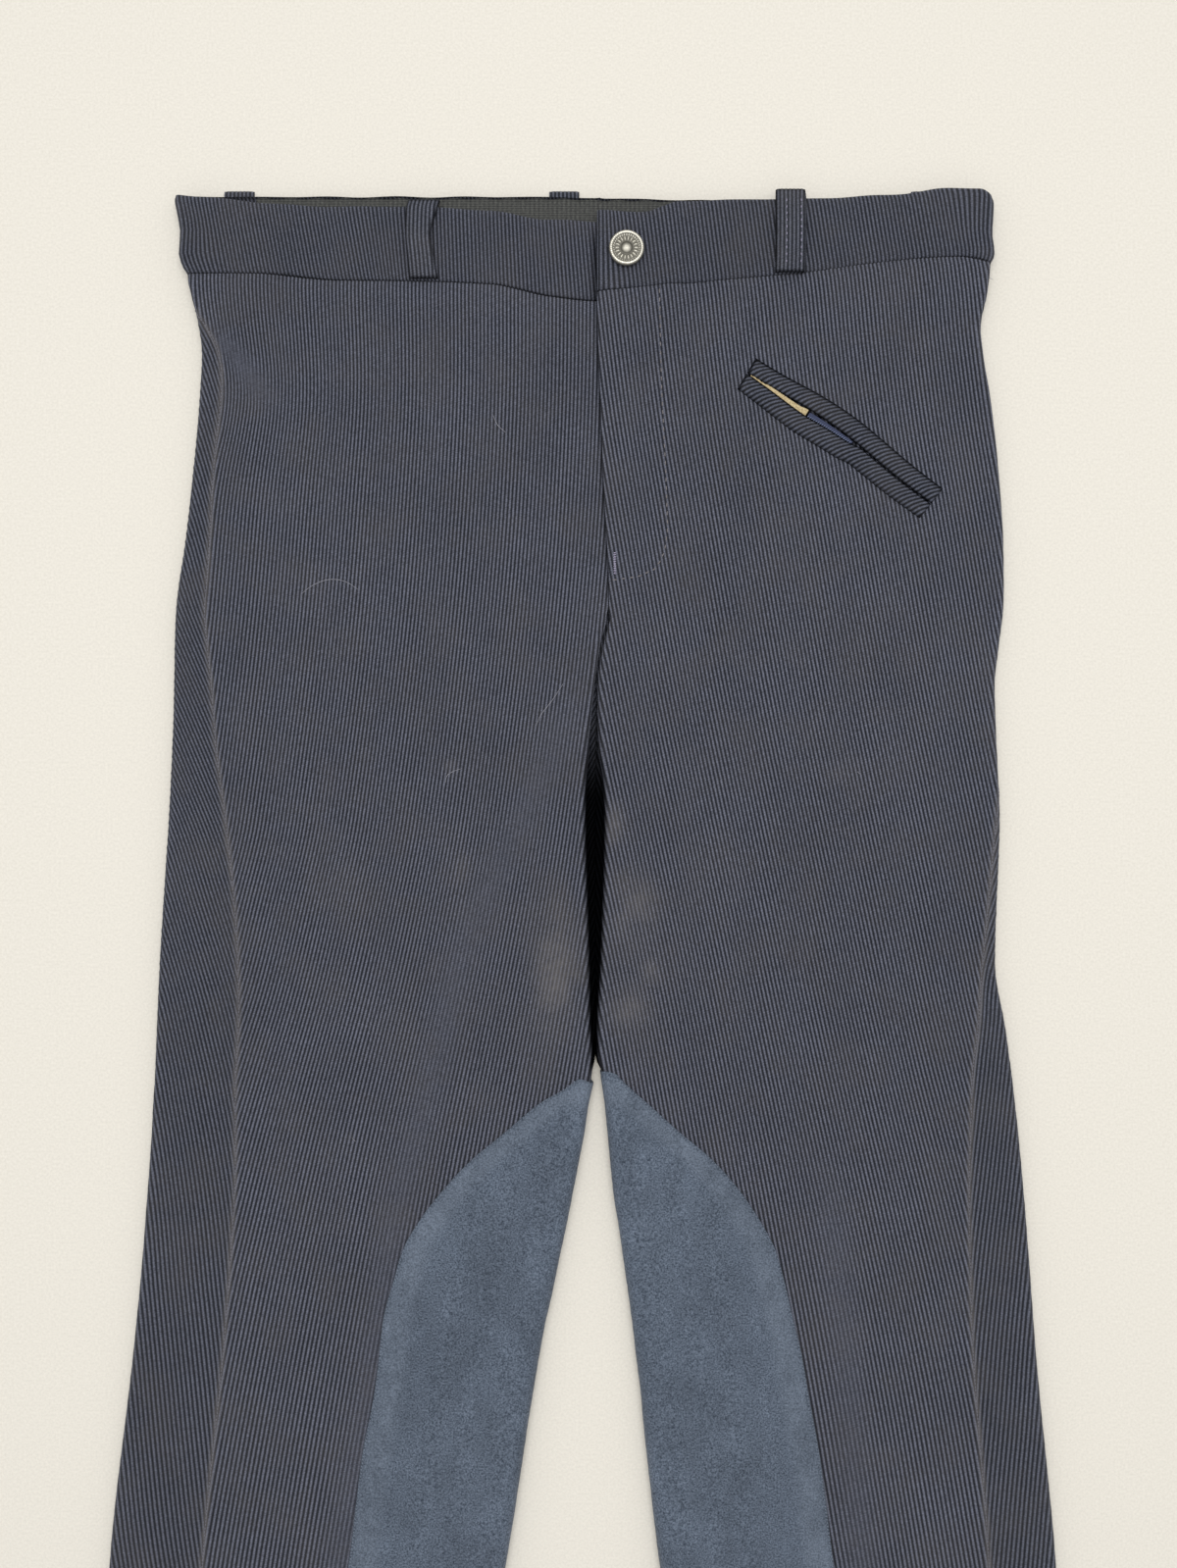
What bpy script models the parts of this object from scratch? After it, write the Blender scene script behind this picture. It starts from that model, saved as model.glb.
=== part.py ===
"""Riding breeches laid flat, front up, built from the pieces that are cut and sewn.

Lengths in the tables are millimetres. x runs to the wearer's left side, d runs down from the waist
top to the ankle, and z runs up from the surface that the breeches lie on. Each leg and each half of
the seat is a flattened tube: the back lies on the surface, turns round the outer fold and meets the
front on top. s is the length along the cloth from the outer fold, over 0 on top and under 0 below.
"""

import math

import bmesh
import bpy

MM = 0.001

CLOTH = 2.0  # rib cloth wall
PATCH = 1.2  # suede wall
ELASTIC = 1.2  # inner waist elastic wall
ELASTIC_SET = 1.2  # how far below the top of the back waistband it ends
LOOP = 1.6  # belt loop wall
WELT = 1.2  # pocket welt wall
SEAM_GAP = 0.3  # between pieces that are sewn together
REST_GAP = 0.9  # between front and back where they lie on each other
FOLD_GAP = 3.0  # inside the outer and inner folds
FOLD_REACH = 60.0  # how far in from a fold the front settles on the back
CREASE_RISE = 1.3  # height of the pressed crease down each leg
CREASE_WIDTH = 10.0
CREASE_START = {"left": 230.0, "right": 430.0}  # where each leg's crease begins to show
CREASE_EASE = 70.0
HIP_RISE = 1.2  # height of the soft swell over each hip
HIP_X, HIP_D, HIP_WIDE, HIP_TALL = 130.0, 105.0, 26.0, 30.0
FLY_LAP = 8.0  # left front under the right front
LAP_REACH, LAP_REACH_TOP = 10.5, 32.5  # how far past the fly the right side stays raised
LAP_EASE = 13.0
LAP_END = 187.0
BAND_LAP = 30.0  # x at which the left waistband ends under the right one
CROTCH_TOP = 200.0  # where the two fronts part
CROTCH = 414.0  # where the two backs begin to part
CROTCH_END = 424.0  # where they have turned up to the inseams
PATCH_TOP = 424.0
PATCH_END = 820.0
PATCH_DRAW = 414.0  # where the inseam begins to draw in for the patch
LENGTH = 950.0  # waist top to ankle hem
BUTTON_X, BUTTON_D, BUTTON_RADIUS = 13.5, 27.2, 8.5
LOOP_WIDTH = 14.5
BACK_LOOP_TOP, BACK_LOOP_END = -5.0, 41.0

FOLD_RADIUS = (CLOTH + FOLD_GAP) / 2
QUARTER = FOLD_RADIUS * math.pi / 2
BAND_LIFT = LOOP + SEAM_GAP
PATCH_LIFT = PATCH + SEAM_GAP
LAP_RISE = CLOTH + SEAM_GAP


class Table:
    """Rows with named columns, read by straight lines between rows."""

    def __init__(self, columns, rows):
        self.columns = columns.split()
        self.rows = rows

    def at(self, column, key):
        k = self.columns.index(column)
        before = self.rows[0]
        for after in self.rows:
            if after[0] >= key:
                break
            before = after
        if before is after or after[0] <= key:
            return after[k]
        if before[0] >= key:
            return before[k]
        share = (key - before[0]) / (after[0] - before[0])
        return before[k] + share * (after[k] - before[k])

    def keys(self):
        return [row[0] for row in self.rows]


# One row for each section across the breeches. An edge or inner is where the leg ends in the outline,
# a seam is how far past the outer fold the side seam lies, and a crease is the pressed line.
SECTION = Table(
    "d left_edge left_seam left_crease left_inner right_inner right_crease right_seam right_edge",
    (
        (0, -204.6, -8.0, -5.0, 5.2, 5.2, 15.0, -8.0, 190.8),
        (18, -201.5, -8.0, -5.0, 5.2, 5.2, 15.0, -8.0, 190.0),
        (27, -202.3, -8.0, -5.0, 5.2, 5.2, 15.0, -8.0, 191.1),
        (38, -198.9, -8.0, -5.0, 5.2, 5.2, 15.0, -8.0, 188.8),
        (49, -195.9, -6.0, -5.0, 5.2, 5.2, 15.0, -8.0, 187.3),
        (61, -193.4, 1.5, -5.0, 5.2, 5.2, 15.0, -8.0, 184.9),
        (76, -191.8, 9.7, -5.0, 5.2, 5.2, 15.0, -8.0, 186.3),
        (94, -192.7, 11.8, -5.0, 5.2, 5.2, 15.0, -8.0, 189.3),
        (125, -195.3, 11.2, -5.0, 5.2, 5.2, 20.0, -8.0, 193.0),
        (170, -200.4, 13.5, -5.0, 5.2, 5.2, 32.0, -8.0, 196.0),
        (186, -202.9, 14.8, -5.0, 5.2, 5.2, 36.0, -8.0, 196.2),
        (200, -204.4, 15.3, -5.0, 5.2, 5.2, 40.0, -8.0, 195.8),
        (217, -205.0, 17.2, -7.0, 1.1, 1.9, 45.0, -8.0, 193.7),
        (236, -205.3, 19.4, -12.0, -1.6, -0.6, 51.0, -7.0, 191.8),
        (264, -206.1, 22.3, -20.5, -3.9, -0.4, 59.0, -4.0, 192.7),
        (281, -206.9, 25.1, -27.5, -5.0, 1.5, 64.0, -0.6, 193.5),
        (297, -207.7, 28.1, -35.0, -5.3, 2.3, 69.0, 2.9, 194.3),
        (370, -212.2, 38.8, -67.0, -3.5, 0.3, 88.0, 7.5, 192.0),
        (400, -213.5, 40.3, -74.0, -3.0, -1.3, 95.0, 14.4, 196.8),
        (414, -214.0, 40.1, -77.5, -2.2, -1.0, 97.9, 18.0, 198.7),
        (424, -214.4, 39.9, -80.0, -2.5, 1.6, 100.0, 20.5, 200.1),
        (436, -215.2, 40.5, -83.0, -4.5, 3.0, 102.0, 22.1, 201.5),
        (450, -215.9, 41.3, -87.0, -6.5, 4.2, 105.0, 24.0, 203.0),
        (480, -218.0, 43.0, -95.0, -12.2, 7.3, 110.0, 27.5, 205.8),
        (512, -220.4, 43.4, -101.0, -18.6, 12.1, 114.5, 29.5, 208.3),
        (558, -224.9, 44.3, -107.5, -28.3, 18.2, 119.5, 31.4, 211.7),
        (660, -236.3, 45.6, -125.0, -44.6, 29.7, 127.0, 33.4, 221.3),
        (760, -241.3, 43.9, -150.0, -64.5, 50.5, 136.0, 35.9, 226.8),
        (820, -239.3, 39.0, -159.0, -82.5, 66.2, 143.0, 32.0, 222.5),
        (950, -238.7, 32.4, -178.0, -119.0, 95.0, 154.0, 29.4, 214.3),
    ),
)

# The front edge of each knee patch, which turns under the leg by as much again.
KNEE_PATCH = Table(
    "d left right",
    (
        (424, -9.8, 8.8),
        (436, -27.5, 22.9),
        (450, -43.9, 38.3),
        (480, -75.8, 68.8),
        (512, -95.8, 86.1),
        (558, -105.3, 98.0),
        (660, -120.0, 113.3),
        (760, -135.0, 127.0),
        (820, -146.0, 136.0),
    ),
)

# The top of the waistband and its seam to the body, front and back, across each half.
LEFT_WAIST = Table(
    "x front_top front_seam back_top back_seam",
    (
        (-203, -0.5, 38.0, -0.5, 38.0),
        (-166, 2.8, 37.5, -0.4, 38.5),
        (-127, 5.2, 40.6, -0.4, 39.0),
        (-91, 5.2, 41.0, -0.4, 39.5),
        (-52, 7.2, 42.5, -0.4, 40.0),
        (-24, 11.3, 49.0, -0.4, 40.5),
        (0, 12.3, 50.5, 0.3, 41.0),
        (31, 12.3, 50.5, 0.6, 41.0),
    ),
)
RIGHT_WAIST = Table(
    "x front_top front_seam back_top back_seam",
    (
        (-1, 8.0, 45.8, 0.3, 41.0),
        (24, 8.5, 43.4, 0.6, 40.5),
        (33, 6.1, 42.5, 0.9, 40.3),
        (43, 2.8, 41.3, 1.2, 40.0),
        (61, 1.9, 39.5, 1.3, 39.5),
        (101, 1.4, 35.9, 1.2, 38.5),
        (127, 0.4, 33.0, 0.4, 37.5),
        (156, -1.5, 30.2, -0.2, 36.0),
        (174, -3.3, 29.6, -0.4, 35.0),
        (183, -3.2, 30.8, -0.4, 34.0),
        (190, 1.4, 33.0, 1.4, 33.0),
    ),
)

# The right front's edge over the fly, and the centre back seam.
CENTRE = Table(
    "d fly lap back",
    (
        (0, -0.5, FLY_LAP, 1.0),
        (46, -0.5, FLY_LAP, 1.0),
        (94, 0.9, FLY_LAP, 0.6),
        (145, 3.0, FLY_LAP, 0.1),
        (170, 4.4, FLY_LAP, -0.2),
        (186, 5.2, -SEAM_GAP, -0.4),
        (200, 5.2, -SEAM_GAP, -0.6),
        (297, 5.2, -SEAM_GAP, -1.4),
    ),
)

# The front belt loops: rise is how far the strip bows off the waistband.
LEFT_LOOP = Table(
    "d start end rise",
    (
        (3.2, -91.2, -76.0, 0.0),
        (8.0, -92.0, -77.5, 1.2),
        (20.0, -92.2, -80.2, 2.0),
        (32.0, -91.2, -78.6, 1.4),
        (40.5, -90.6, -77.0, 0.0),
    ),
)
RIGHT_LOOP = Table(
    "d start end rise",
    (
        (-2.0, 85.2, 99.2, 0.0),
        (4.0, 85.0, 99.6, 1.2),
        (17.0, 85.0, 99.5, 1.8),
        (30.0, 85.0, 99.4, 1.2),
        (37.5, 85.0, 99.2, 0.0),
    ),
)
BACK_LOOPS = (("left", -174.5), ("centre", -16.5), ("right", 159.5))

# The hip pocket, along its slit: how far the slit gapes, and how wide each welt is.
POCKET = Table(
    "along x d gape upper lower",
    (
        (0.0, 72.4, 85.2, 0.3, 7.6, 8.4),
        (12.0, 82.6, 91.3, 1.3, 7.6, 8.8),
        (34.0, 101.8, 102.4, 3.6, 8.2, 9.2),
        (46.0, 111.8, 109.0, 3.0, 8.6, 9.4),
        (58.0, 121.6, 116.3, 2.2, 8.8, 9.2),
        (66.0, 128.0, 121.6, 0.4, 8.8, 9.2),
        (88.0, 145.2, 136.2, 0.3, 8.6, 8.8),
        (108.0, 160.3, 148.0, 0.3, 8.2, 8.2),
    ),
)
TAPE_SPAN = (12.0, 34.0)
SERGED_SPAN = (46.0, 58.0)

# The button from its underside round the rim to its face.
BUTTON = Table(
    "step radius height",
    (
        (0, 7.2, 0.0),
        (1, 8.5, 0.9),
        (2, 8.5, 1.9),
        (3, 7.9, 2.7),
        (4, 7.0, 2.7),
        (5, 6.4, 1.9),
        (6, 3.0, 2.2),
    ),
)
BUTTON_SIDES = 32


def ease(value, start, end):
    """Runs smoothly from 0 at start to 1 at end."""
    t = min(1.0, max(0.0, (value - start) / (end - start)))
    return t * t * (3 - 2 * t)


class Half:
    """The left or right half: inward is +1 where the centre lies toward +x."""

    def __init__(self, name, inward, waist):
        self.name = name
        self.inward = inward
        self.waist = waist

    def section(self, what, d):
        return SECTION.at(f"{self.name}_{what}", d)

    def outer(self, d):
        """x of the middle of the wall at the outer fold."""
        return self.section("edge", d) + self.inward * CLOTH / 2

    def inner(self, d):
        """x of the middle of the wall at the inner fold, inside the knee patch where there is one."""
        inset = CLOTH / 2 + PATCH_LIFT * ease(d, PATCH_DRAW, PATCH_TOP)
        if d > PATCH_END:
            inset -= PATCH_LIFT * ease(d, PATCH_END, LENGTH)
        return self.section("inner", d) - self.inward * inset

    def lift(self, x, d):
        """How far the back is held up by the belt loops and the knee patch under it."""
        loops = BAND_LIFT * (1 - ease(d, 44, 70))
        patch_edge = KNEE_PATCH.at(self.name, d)
        beyond = self.inward * (patch_edge - x) + 2.2 * max(0.0, PATCH_TOP - d)
        patch = PATCH_LIFT * (1 - ease(beyond, 26, 50))
        return loops + patch * (1 - ease(d, PATCH_END + 2, LENGTH))

    def back_height(self, x, d):
        return CLOTH / 2 + self.lift(x, d)

    def gap(self, x, d):
        """The space between front and back, which closes away from the folds."""
        least = REST_GAP + (ELASTIC + 2 * SEAM_GAP - REST_GAP) * (1 - ease(d, 50, 94))
        near_outer = 1 - ease(abs(x - self.outer(d)), 4, FOLD_REACH)
        near_inner = (1 - ease(abs(x - self.inner(d)), 4, FOLD_REACH)) * ease(d, 170, 217)
        return least + (FOLD_GAP - least) * max(near_outer, near_inner)

    def lap(self, x, d):
        """The right front and waistband lie over the left ones at the fly."""
        if self.name == "left":
            return 0.0
        reach = LAP_REACH + (LAP_REACH_TOP - LAP_REACH) * (1 - ease(d, 54, 90))
        past = x - CENTRE.at("fly", d)
        return LAP_RISE * (1 - ease(past, reach, reach + LAP_EASE)) * (1 - ease(d, LAP_END, CROTCH_TOP))

    def relief(self, x, d):
        """The pressed crease down the leg and the soft swell at the hip."""
        start = CREASE_START[self.name]
        past = (x - self.section("crease", d)) / CREASE_WIDTH
        crease = CREASE_RISE * math.exp(-past * past) * ease(d, start, start + CREASE_EASE)
        hip = math.exp(-(((abs(x) - HIP_X) / HIP_WIDE) ** 2) - ((d - HIP_D) / HIP_TALL) ** 2)
        return crease + HIP_RISE * hip

    def front_height(self, x, d):
        return self.back_height(x, d) + CLOTH + self.gap(x, d) + self.lap(x, d) + self.relief(x, d)

    def s_at(self, x, d):
        """Length along the cloth from the outer fold to a point on the flat."""
        return QUARTER - FOLD_RADIUS + self.inward * (x - self.outer(d))

    def round_outer(self, s, d):
        """(x, z, normal x, normal z) on the tube, up to where it nears the inner fold."""
        edge = self.outer(d)
        if abs(s) <= QUARTER:
            a = s / FOLD_RADIUS
            x = edge + self.inward * FOLD_RADIUS * (1 - math.cos(a))
            z = self.back_height(edge, d) + FOLD_RADIUS * (1 + math.sin(a))
            return x, z, -self.inward * math.cos(a), math.sin(a)
        x = edge + self.inward * (FOLD_RADIUS + abs(s) - QUARTER)
        if s > 0:
            return x, self.front_height(x, d), 0.0, 1.0
        return x, self.back_height(x, d), 0.0, -1.0

    def turn_end(self, s, d, end_x, turn, above):
        """On the tube, with the last of the cloth turned down (above) or up through an angle."""
        start_x = end_x - self.inward * FOLD_RADIUS * math.sin(turn)
        start = self.s_at(start_x, d)
        if abs(s) <= start:
            return self.round_outer(s, d)
        way = 1.0 if above else -1.0
        height = self.front_height(start_x, d) if above else self.back_height(start_x, d)
        a = min(turn, (abs(s) - start) / FOLD_RADIUS)
        rest = abs(s) - start - a * FOLD_RADIUS
        x = start_x + self.inward * (FOLD_RADIUS * math.sin(a) + rest * math.cos(a))
        z = height - way * (FOLD_RADIUS * (1 - math.cos(a)) + rest * math.sin(a))
        return x, z, self.inward * math.sin(a), way * math.cos(a)

    def front_end(self, d):
        """(x, turn, drop) of the front's edge at the fly, in the crotch valley or at the inseam."""
        turn = math.pi / 2 * ease(d, CROTCH_TOP, 217)
        drop = 1.2 * ease(d, CROTCH_TOP, 217) * (1 - ease(d, CROTCH, CROTCH_END))
        if d > CROTCH_TOP:
            return self.inner(d), turn, drop
        fly = CENTRE.at("fly", d)
        if self.name == "left":
            return fly + CENTRE.at("lap", d), 0.0, 0.0
        return fly, 0.0, 0.0

    def front_length(self, d):
        x, turn, drop = self.front_end(d)
        start_x = x - self.inward * FOLD_RADIUS * math.sin(turn)
        less = SEAM_GAP / 2 if d > CROTCH_TOP else 0.0
        return self.s_at(start_x, d) + turn * FOLD_RADIUS + drop - less

    def front_point(self, s, d):
        x, turn, _ = self.front_end(d)
        return self.turn_end(s, d, x, turn, True)

    def back_end(self, d):
        share = ease(d, CROTCH, CROTCH_END)
        middle = CENTRE.at("back", d)
        return middle + share * (self.inner(d) - middle), math.pi / 2 * share

    def back_length(self, d):
        x, turn = self.back_end(d)
        start_x = x - self.inward * FOLD_RADIUS * math.sin(turn)
        return self.s_at(start_x, d) + turn * FOLD_RADIUS - SEAM_GAP / 2

    def back_point(self, s, d):
        x, turn = self.back_end(d)
        return self.turn_end(s, d, x, turn, False)

    def warped(self, point_at, columns_at, k, row):
        """(s, point) in column k of a row that follows the waist seam at the top, straight lower down."""
        first = SECTION.keys()[WAIST_ROW]
        s = columns_at(self, row)[k]
        line = self.waist.at("front_seam" if s > 0 else "back_seam", point_at(s, row)[0])
        d = row + (line + SEAM_GAP / 2 - first) * (1 - ease(row, first, 130))
        s = columns_at(self, d)[k]
        x, z, nx, nz = point_at(s, d)
        return s, (x, d, z, nx, nz)


WAIST_ROW = 3
BODY_ROWS = SECTION.keys()[WAIST_ROW:]
LEFT = Half("left", 1, LEFT_WAIST)
RIGHT = Half("right", -1, RIGHT_WAIST)


def spread(start, end, inside):
    """Points strictly between two ends."""
    return [start + (end - start) * (k + 1) / (inside + 1) for k in range(inside)]


def front_columns(half, d):
    """Lengths along the cloth of a front's columns: close at its edges and at the crease."""
    first = half.section("seam", d) + SEAM_GAP / 2
    last = half.front_length(d)
    outer = [first, first + 2.5, first + 5, first + 8, first + 12]
    inner = [last - 5.1, last - 3.8, last - 2.5, last - 1.2, last]
    crease = half.s_at(half.section("crease", d), d)
    crease = min(max(crease, outer[-1] + 30), inner[0] - 18)
    middle = spread(outer[-1], crease - 9, 2) + [crease - 9, crease, crease + 9]
    return outer + middle + spread(crease + 9, inner[0], 2) + inner


def back_columns(half, d):
    """Lengths along the cloth of a back's columns, from the side seam round the fold and under."""
    first = half.section("seam", d) - SEAM_GAP / 2
    last = -half.back_length(d)
    fold = [QUARTER * k for k in (1, 0.5, 0, -0.5, -1)]
    inner = [last + 3.8, last + 2.5, last + 1.2, last]
    columns = [first, (first + QUARTER) / 2] + fold + spread(-QUARTER, inner[0], 7) + inner
    return [min(s, first - 0.9 * k) for k, s in enumerate(columns)]


def panel_rows(half, point_at, columns_at):
    """Rows of (s, point) over a front or a back, from the waist seam to the ankle."""
    wide = range(len(columns_at(half, BODY_ROWS[0])))
    return [[half.warped(point_at, columns_at, k, row) for k in wide] for row in BODY_ROWS]


def on_row(row, s):
    """The point of a row of cloth at length s, on the straight between its columns."""
    ordered = sorted(row)
    for (s0, p0), (s1, p1) in zip(ordered, ordered[1:]):
        if s <= s1:
            break
    share = min(1.0, max(0.0, (s - s0) / (s1 - s0)))
    return tuple(a + share * (b - a) for a, b in zip(p0, p1))


def moved_out(point, distance):
    x, d, z, nx, nz = point
    return x + nx * distance, d, z + nz * distance, nx, nz


def patch_rows(half, fronts, backs):
    """The suede round the inner fold, taken from the points of the panels and moved out."""
    rows = []
    for d in KNEE_PATCH.keys():
        front = fronts[BODY_ROWS.index(d)]
        back = backs[BODY_ROWS.index(d)]
        s_edge = half.s_at(KNEE_PATCH.at(half.name, d), d)
        s_end = front[-1][0]
        s_back = back[-1][0]
        over = [s_edge] + spread(s_edge, s_end - 3.8, 3)
        over += [s_end - 3.8, s_end - 2.5, s_end - 1.2, s_end]
        under = [s_back + 1.2, s_back + 2.5, s_back + 3.8]
        under += spread(s_back + 3.8, -s_edge, 3) + [-s_edge]
        row = [on_row(front, s) for s in over] + [on_row(back, s) for s in under]
        out = CLOTH / 2 + SEAM_GAP + PATCH / 2
        rows.append([moved_out(point, out) for point in row])
    return rows


def band_rows(half, fronts, backs):
    """The waistband of one half over the top edges of its panels, from the front end to the centre back."""
    ends = [(half.front_point, front_columns, k, point) for k, (_, point) in enumerate(fronts[0])]
    ends = ends[::-1]
    ends += [(half.back_point, back_columns, k, point) for k, (_, point) in enumerate(backs[0])][1:]
    rows = []
    for share in (0.0, 0.33, 0.67, 1.0):
        row = []
        if half.name == "left":
            for x in (BAND_LAP, (BAND_LAP + FLY_LAP) / 2):
                low, high = half.waist.at("front_seam", x) - SEAM_GAP / 2, half.waist.at("front_top", x)
                d = low + (high - low) * share
                row.append((x, d, half.front_height(x, d), 0.0, 1.0))
        for point_at, columns_at, k, point in ends:
            low = point[1] - 1.8 * SEAM_GAP
            side = "front" if point[4] > 0 else "back"
            d = low + (half.waist.at(side + "_top", point[0]) - low) * share
            x, z, nx, nz = point_at(columns_at(half, d)[k], d)
            row.append((x, d, z, nx, nz))
        rows.append(row)
    return rows


def elastic_rows():
    """The elastic inside the back waistband, over both halves."""
    rows = []
    for share in (0.0, 1.0):
        row = []
        for x in range(-165, 166, 15):
            half = LEFT if x < 0 else RIGHT
            low = half.waist.at("back_seam", x) - 3
            high = half.waist.at("back_top", x) + ELASTIC_SET
            z = half.back_height(x, 20) + CLOTH / 2 + SEAM_GAP + ELASTIC / 2
            row.append((x, low + (high - low) * share, z, 0.0, 1.0))
        rows.append(row)
    return rows


def loop_rows(half, loop):
    """A front belt loop, held to the waistband at both ends and bowed off it between them."""
    rows = []
    for d in loop.keys():
        start, end, rise = (loop.at(name, d) for name in ("start", "end", "rise"))
        base = CLOTH / 2 + SEAM_GAP + 0.3 + LOOP / 2 + rise
        xs = (start, (start + end) / 2, end)
        rows.append([(x, d, half.front_height(x, d) + base, 0.0, 1.0) for x in xs])
    return rows


def back_loop_rows(x):
    rows = []
    for d in (BACK_LOOP_TOP, 10, 25, BACK_LOOP_END):
        rows.append([(x + k * LOOP_WIDTH / 2, d, LOOP / 2, 0.0, 1.0) for k in (-1, 0, 1)])
    return rows


def pocket_rows(span, near, far, offset):
    """A strip beside the pocket slit. near and far give its edges across the slit, down positive."""
    rows = []
    for along in [a for a in POCKET.keys() if span[0] <= a <= span[1]]:
        slit = {name: POCKET.at(name, along) for name in POCKET.columns}
        before, after = (max(0.0, along - 10), min(108.0, along + 10))
        run_x = POCKET.at("x", after) - POCKET.at("x", before)
        run_d = POCKET.at("d", after) - POCKET.at("d", before)
        long = math.hypot(run_x, run_d)
        across = (-run_d / long, run_x / long)
        row = []
        for share in (0.0, 0.5, 1.0):
            out = near(slit) + (far(slit) - near(slit)) * share
            x, d = slit["x"] + across[0] * out, slit["d"] + across[1] * out
            z = RIGHT.front_height(x, d) + CLOTH / 2 + SEAM_GAP + offset
            row.append((x, d, z, 0.0, 1.0))
        rows.append(row)
    return rows


def placed(x, d, z):
    return (x * MM, -d * MM, z * MM)


def new_object(name, mesh_maker, material):
    mesh = bpy.data.meshes.new(name)
    build = bmesh.new()
    mesh_maker(build)
    bmesh.ops.recalc_face_normals(build, faces=build.faces)
    build.to_mesh(mesh)
    build.free()
    mesh.materials.append(material)
    made = bpy.data.objects.new(name, mesh)
    bpy.context.scene.collection.objects.link(made)
    return made


def cloth(name, rows, thickness, material):
    """A wall of cloth with its middle on a grid of points, closed at its cut edges."""

    def build_wall(build):
        sides = []
        for way in (0.5, -0.5):
            grid = []
            for row in rows:
                points = [moved_out(point, way * thickness)[:3] for point in row]
                grid.append([build.verts.new(placed(*point)) for point in points])
            sides.append(grid)
        top, under = sides
        tall, wide = len(rows), len(rows[0])
        for i in range(tall - 1):
            for j in range(wide - 1):
                build.faces.new((top[i][j], top[i][j + 1], top[i + 1][j + 1], top[i + 1][j]))
                build.faces.new((under[i][j], under[i + 1][j], under[i + 1][j + 1], under[i][j + 1]))
        for i in range(tall - 1):
            for j in (0, wide - 1):
                build.faces.new((top[i][j], top[i + 1][j], under[i + 1][j], under[i][j]))
        for j in range(wide - 1):
            for i in (0, tall - 1):
                build.faces.new((top[i][j], top[i][j + 1], under[i][j + 1], under[i][j]))

    return new_object(name, build_wall, material)


def button(name, material):
    """A tack button's cap with a raised rim and a slightly domed face."""
    base = RIGHT.front_height(BUTTON_X, BUTTON_D) + CLOTH / 2 + SEAM_GAP

    def build_cap(build):
        rings = []
        for step in BUTTON.keys():
            radius, height = BUTTON.at("radius", step), BUTTON.at("height", step)
            ring = []
            for k in range(BUTTON_SIDES):
                a = 2 * math.pi * k / BUTTON_SIDES
                x, d = BUTTON_X + radius * math.cos(a), BUTTON_D + radius * math.sin(a)
                ring.append(build.verts.new(placed(x, d, base + height)))
            rings.append(ring)
        for low, high in zip(rings, rings[1:]):
            for k in range(BUTTON_SIDES):
                n = (k + 1) % BUTTON_SIDES
                build.faces.new((low[k], low[n], high[n], high[k]))
        build.faces.new(rings[0])
        middle = build.verts.new(placed(BUTTON_X, BUTTON_D, base + 2.4))
        for k in range(BUTTON_SIDES):
            build.faces.new((rings[-1][k], rings[-1][(k + 1) % BUTTON_SIDES], middle))

    return new_object(name, build_cap, material)


def paint(name, colour, roughness, metallic=0.0):
    material = bpy.data.materials.new(name)
    material.use_nodes = True
    shader = material.node_tree.nodes["Principled BSDF"]
    shader.inputs["Base Color"].default_value = (*colour, 1.0)
    shader.inputs["Roughness"].default_value = roughness
    shader.inputs["Metallic"].default_value = metallic
    material.diffuse_color = (*colour, 1.0)
    return material


def stand_on_origin():
    """Moves the breeches so that the middle of the underside is the origin."""
    meshes = [obj.data for obj in bpy.context.scene.objects if obj.type == "MESH"]
    points = [vertex.co for mesh in meshes for vertex in mesh.vertices]
    low = [min(p[k] for p in points) for k in range(3)]
    high = [max(p[k] for p in points) for k in range(3)]
    shift = ((low[0] + high[0]) / 2, (low[1] + high[1]) / 2, low[2])
    for mesh in meshes:
        for vertex in mesh.vertices:
            for k in range(3):
                vertex.co[k] -= shift[k]


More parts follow.
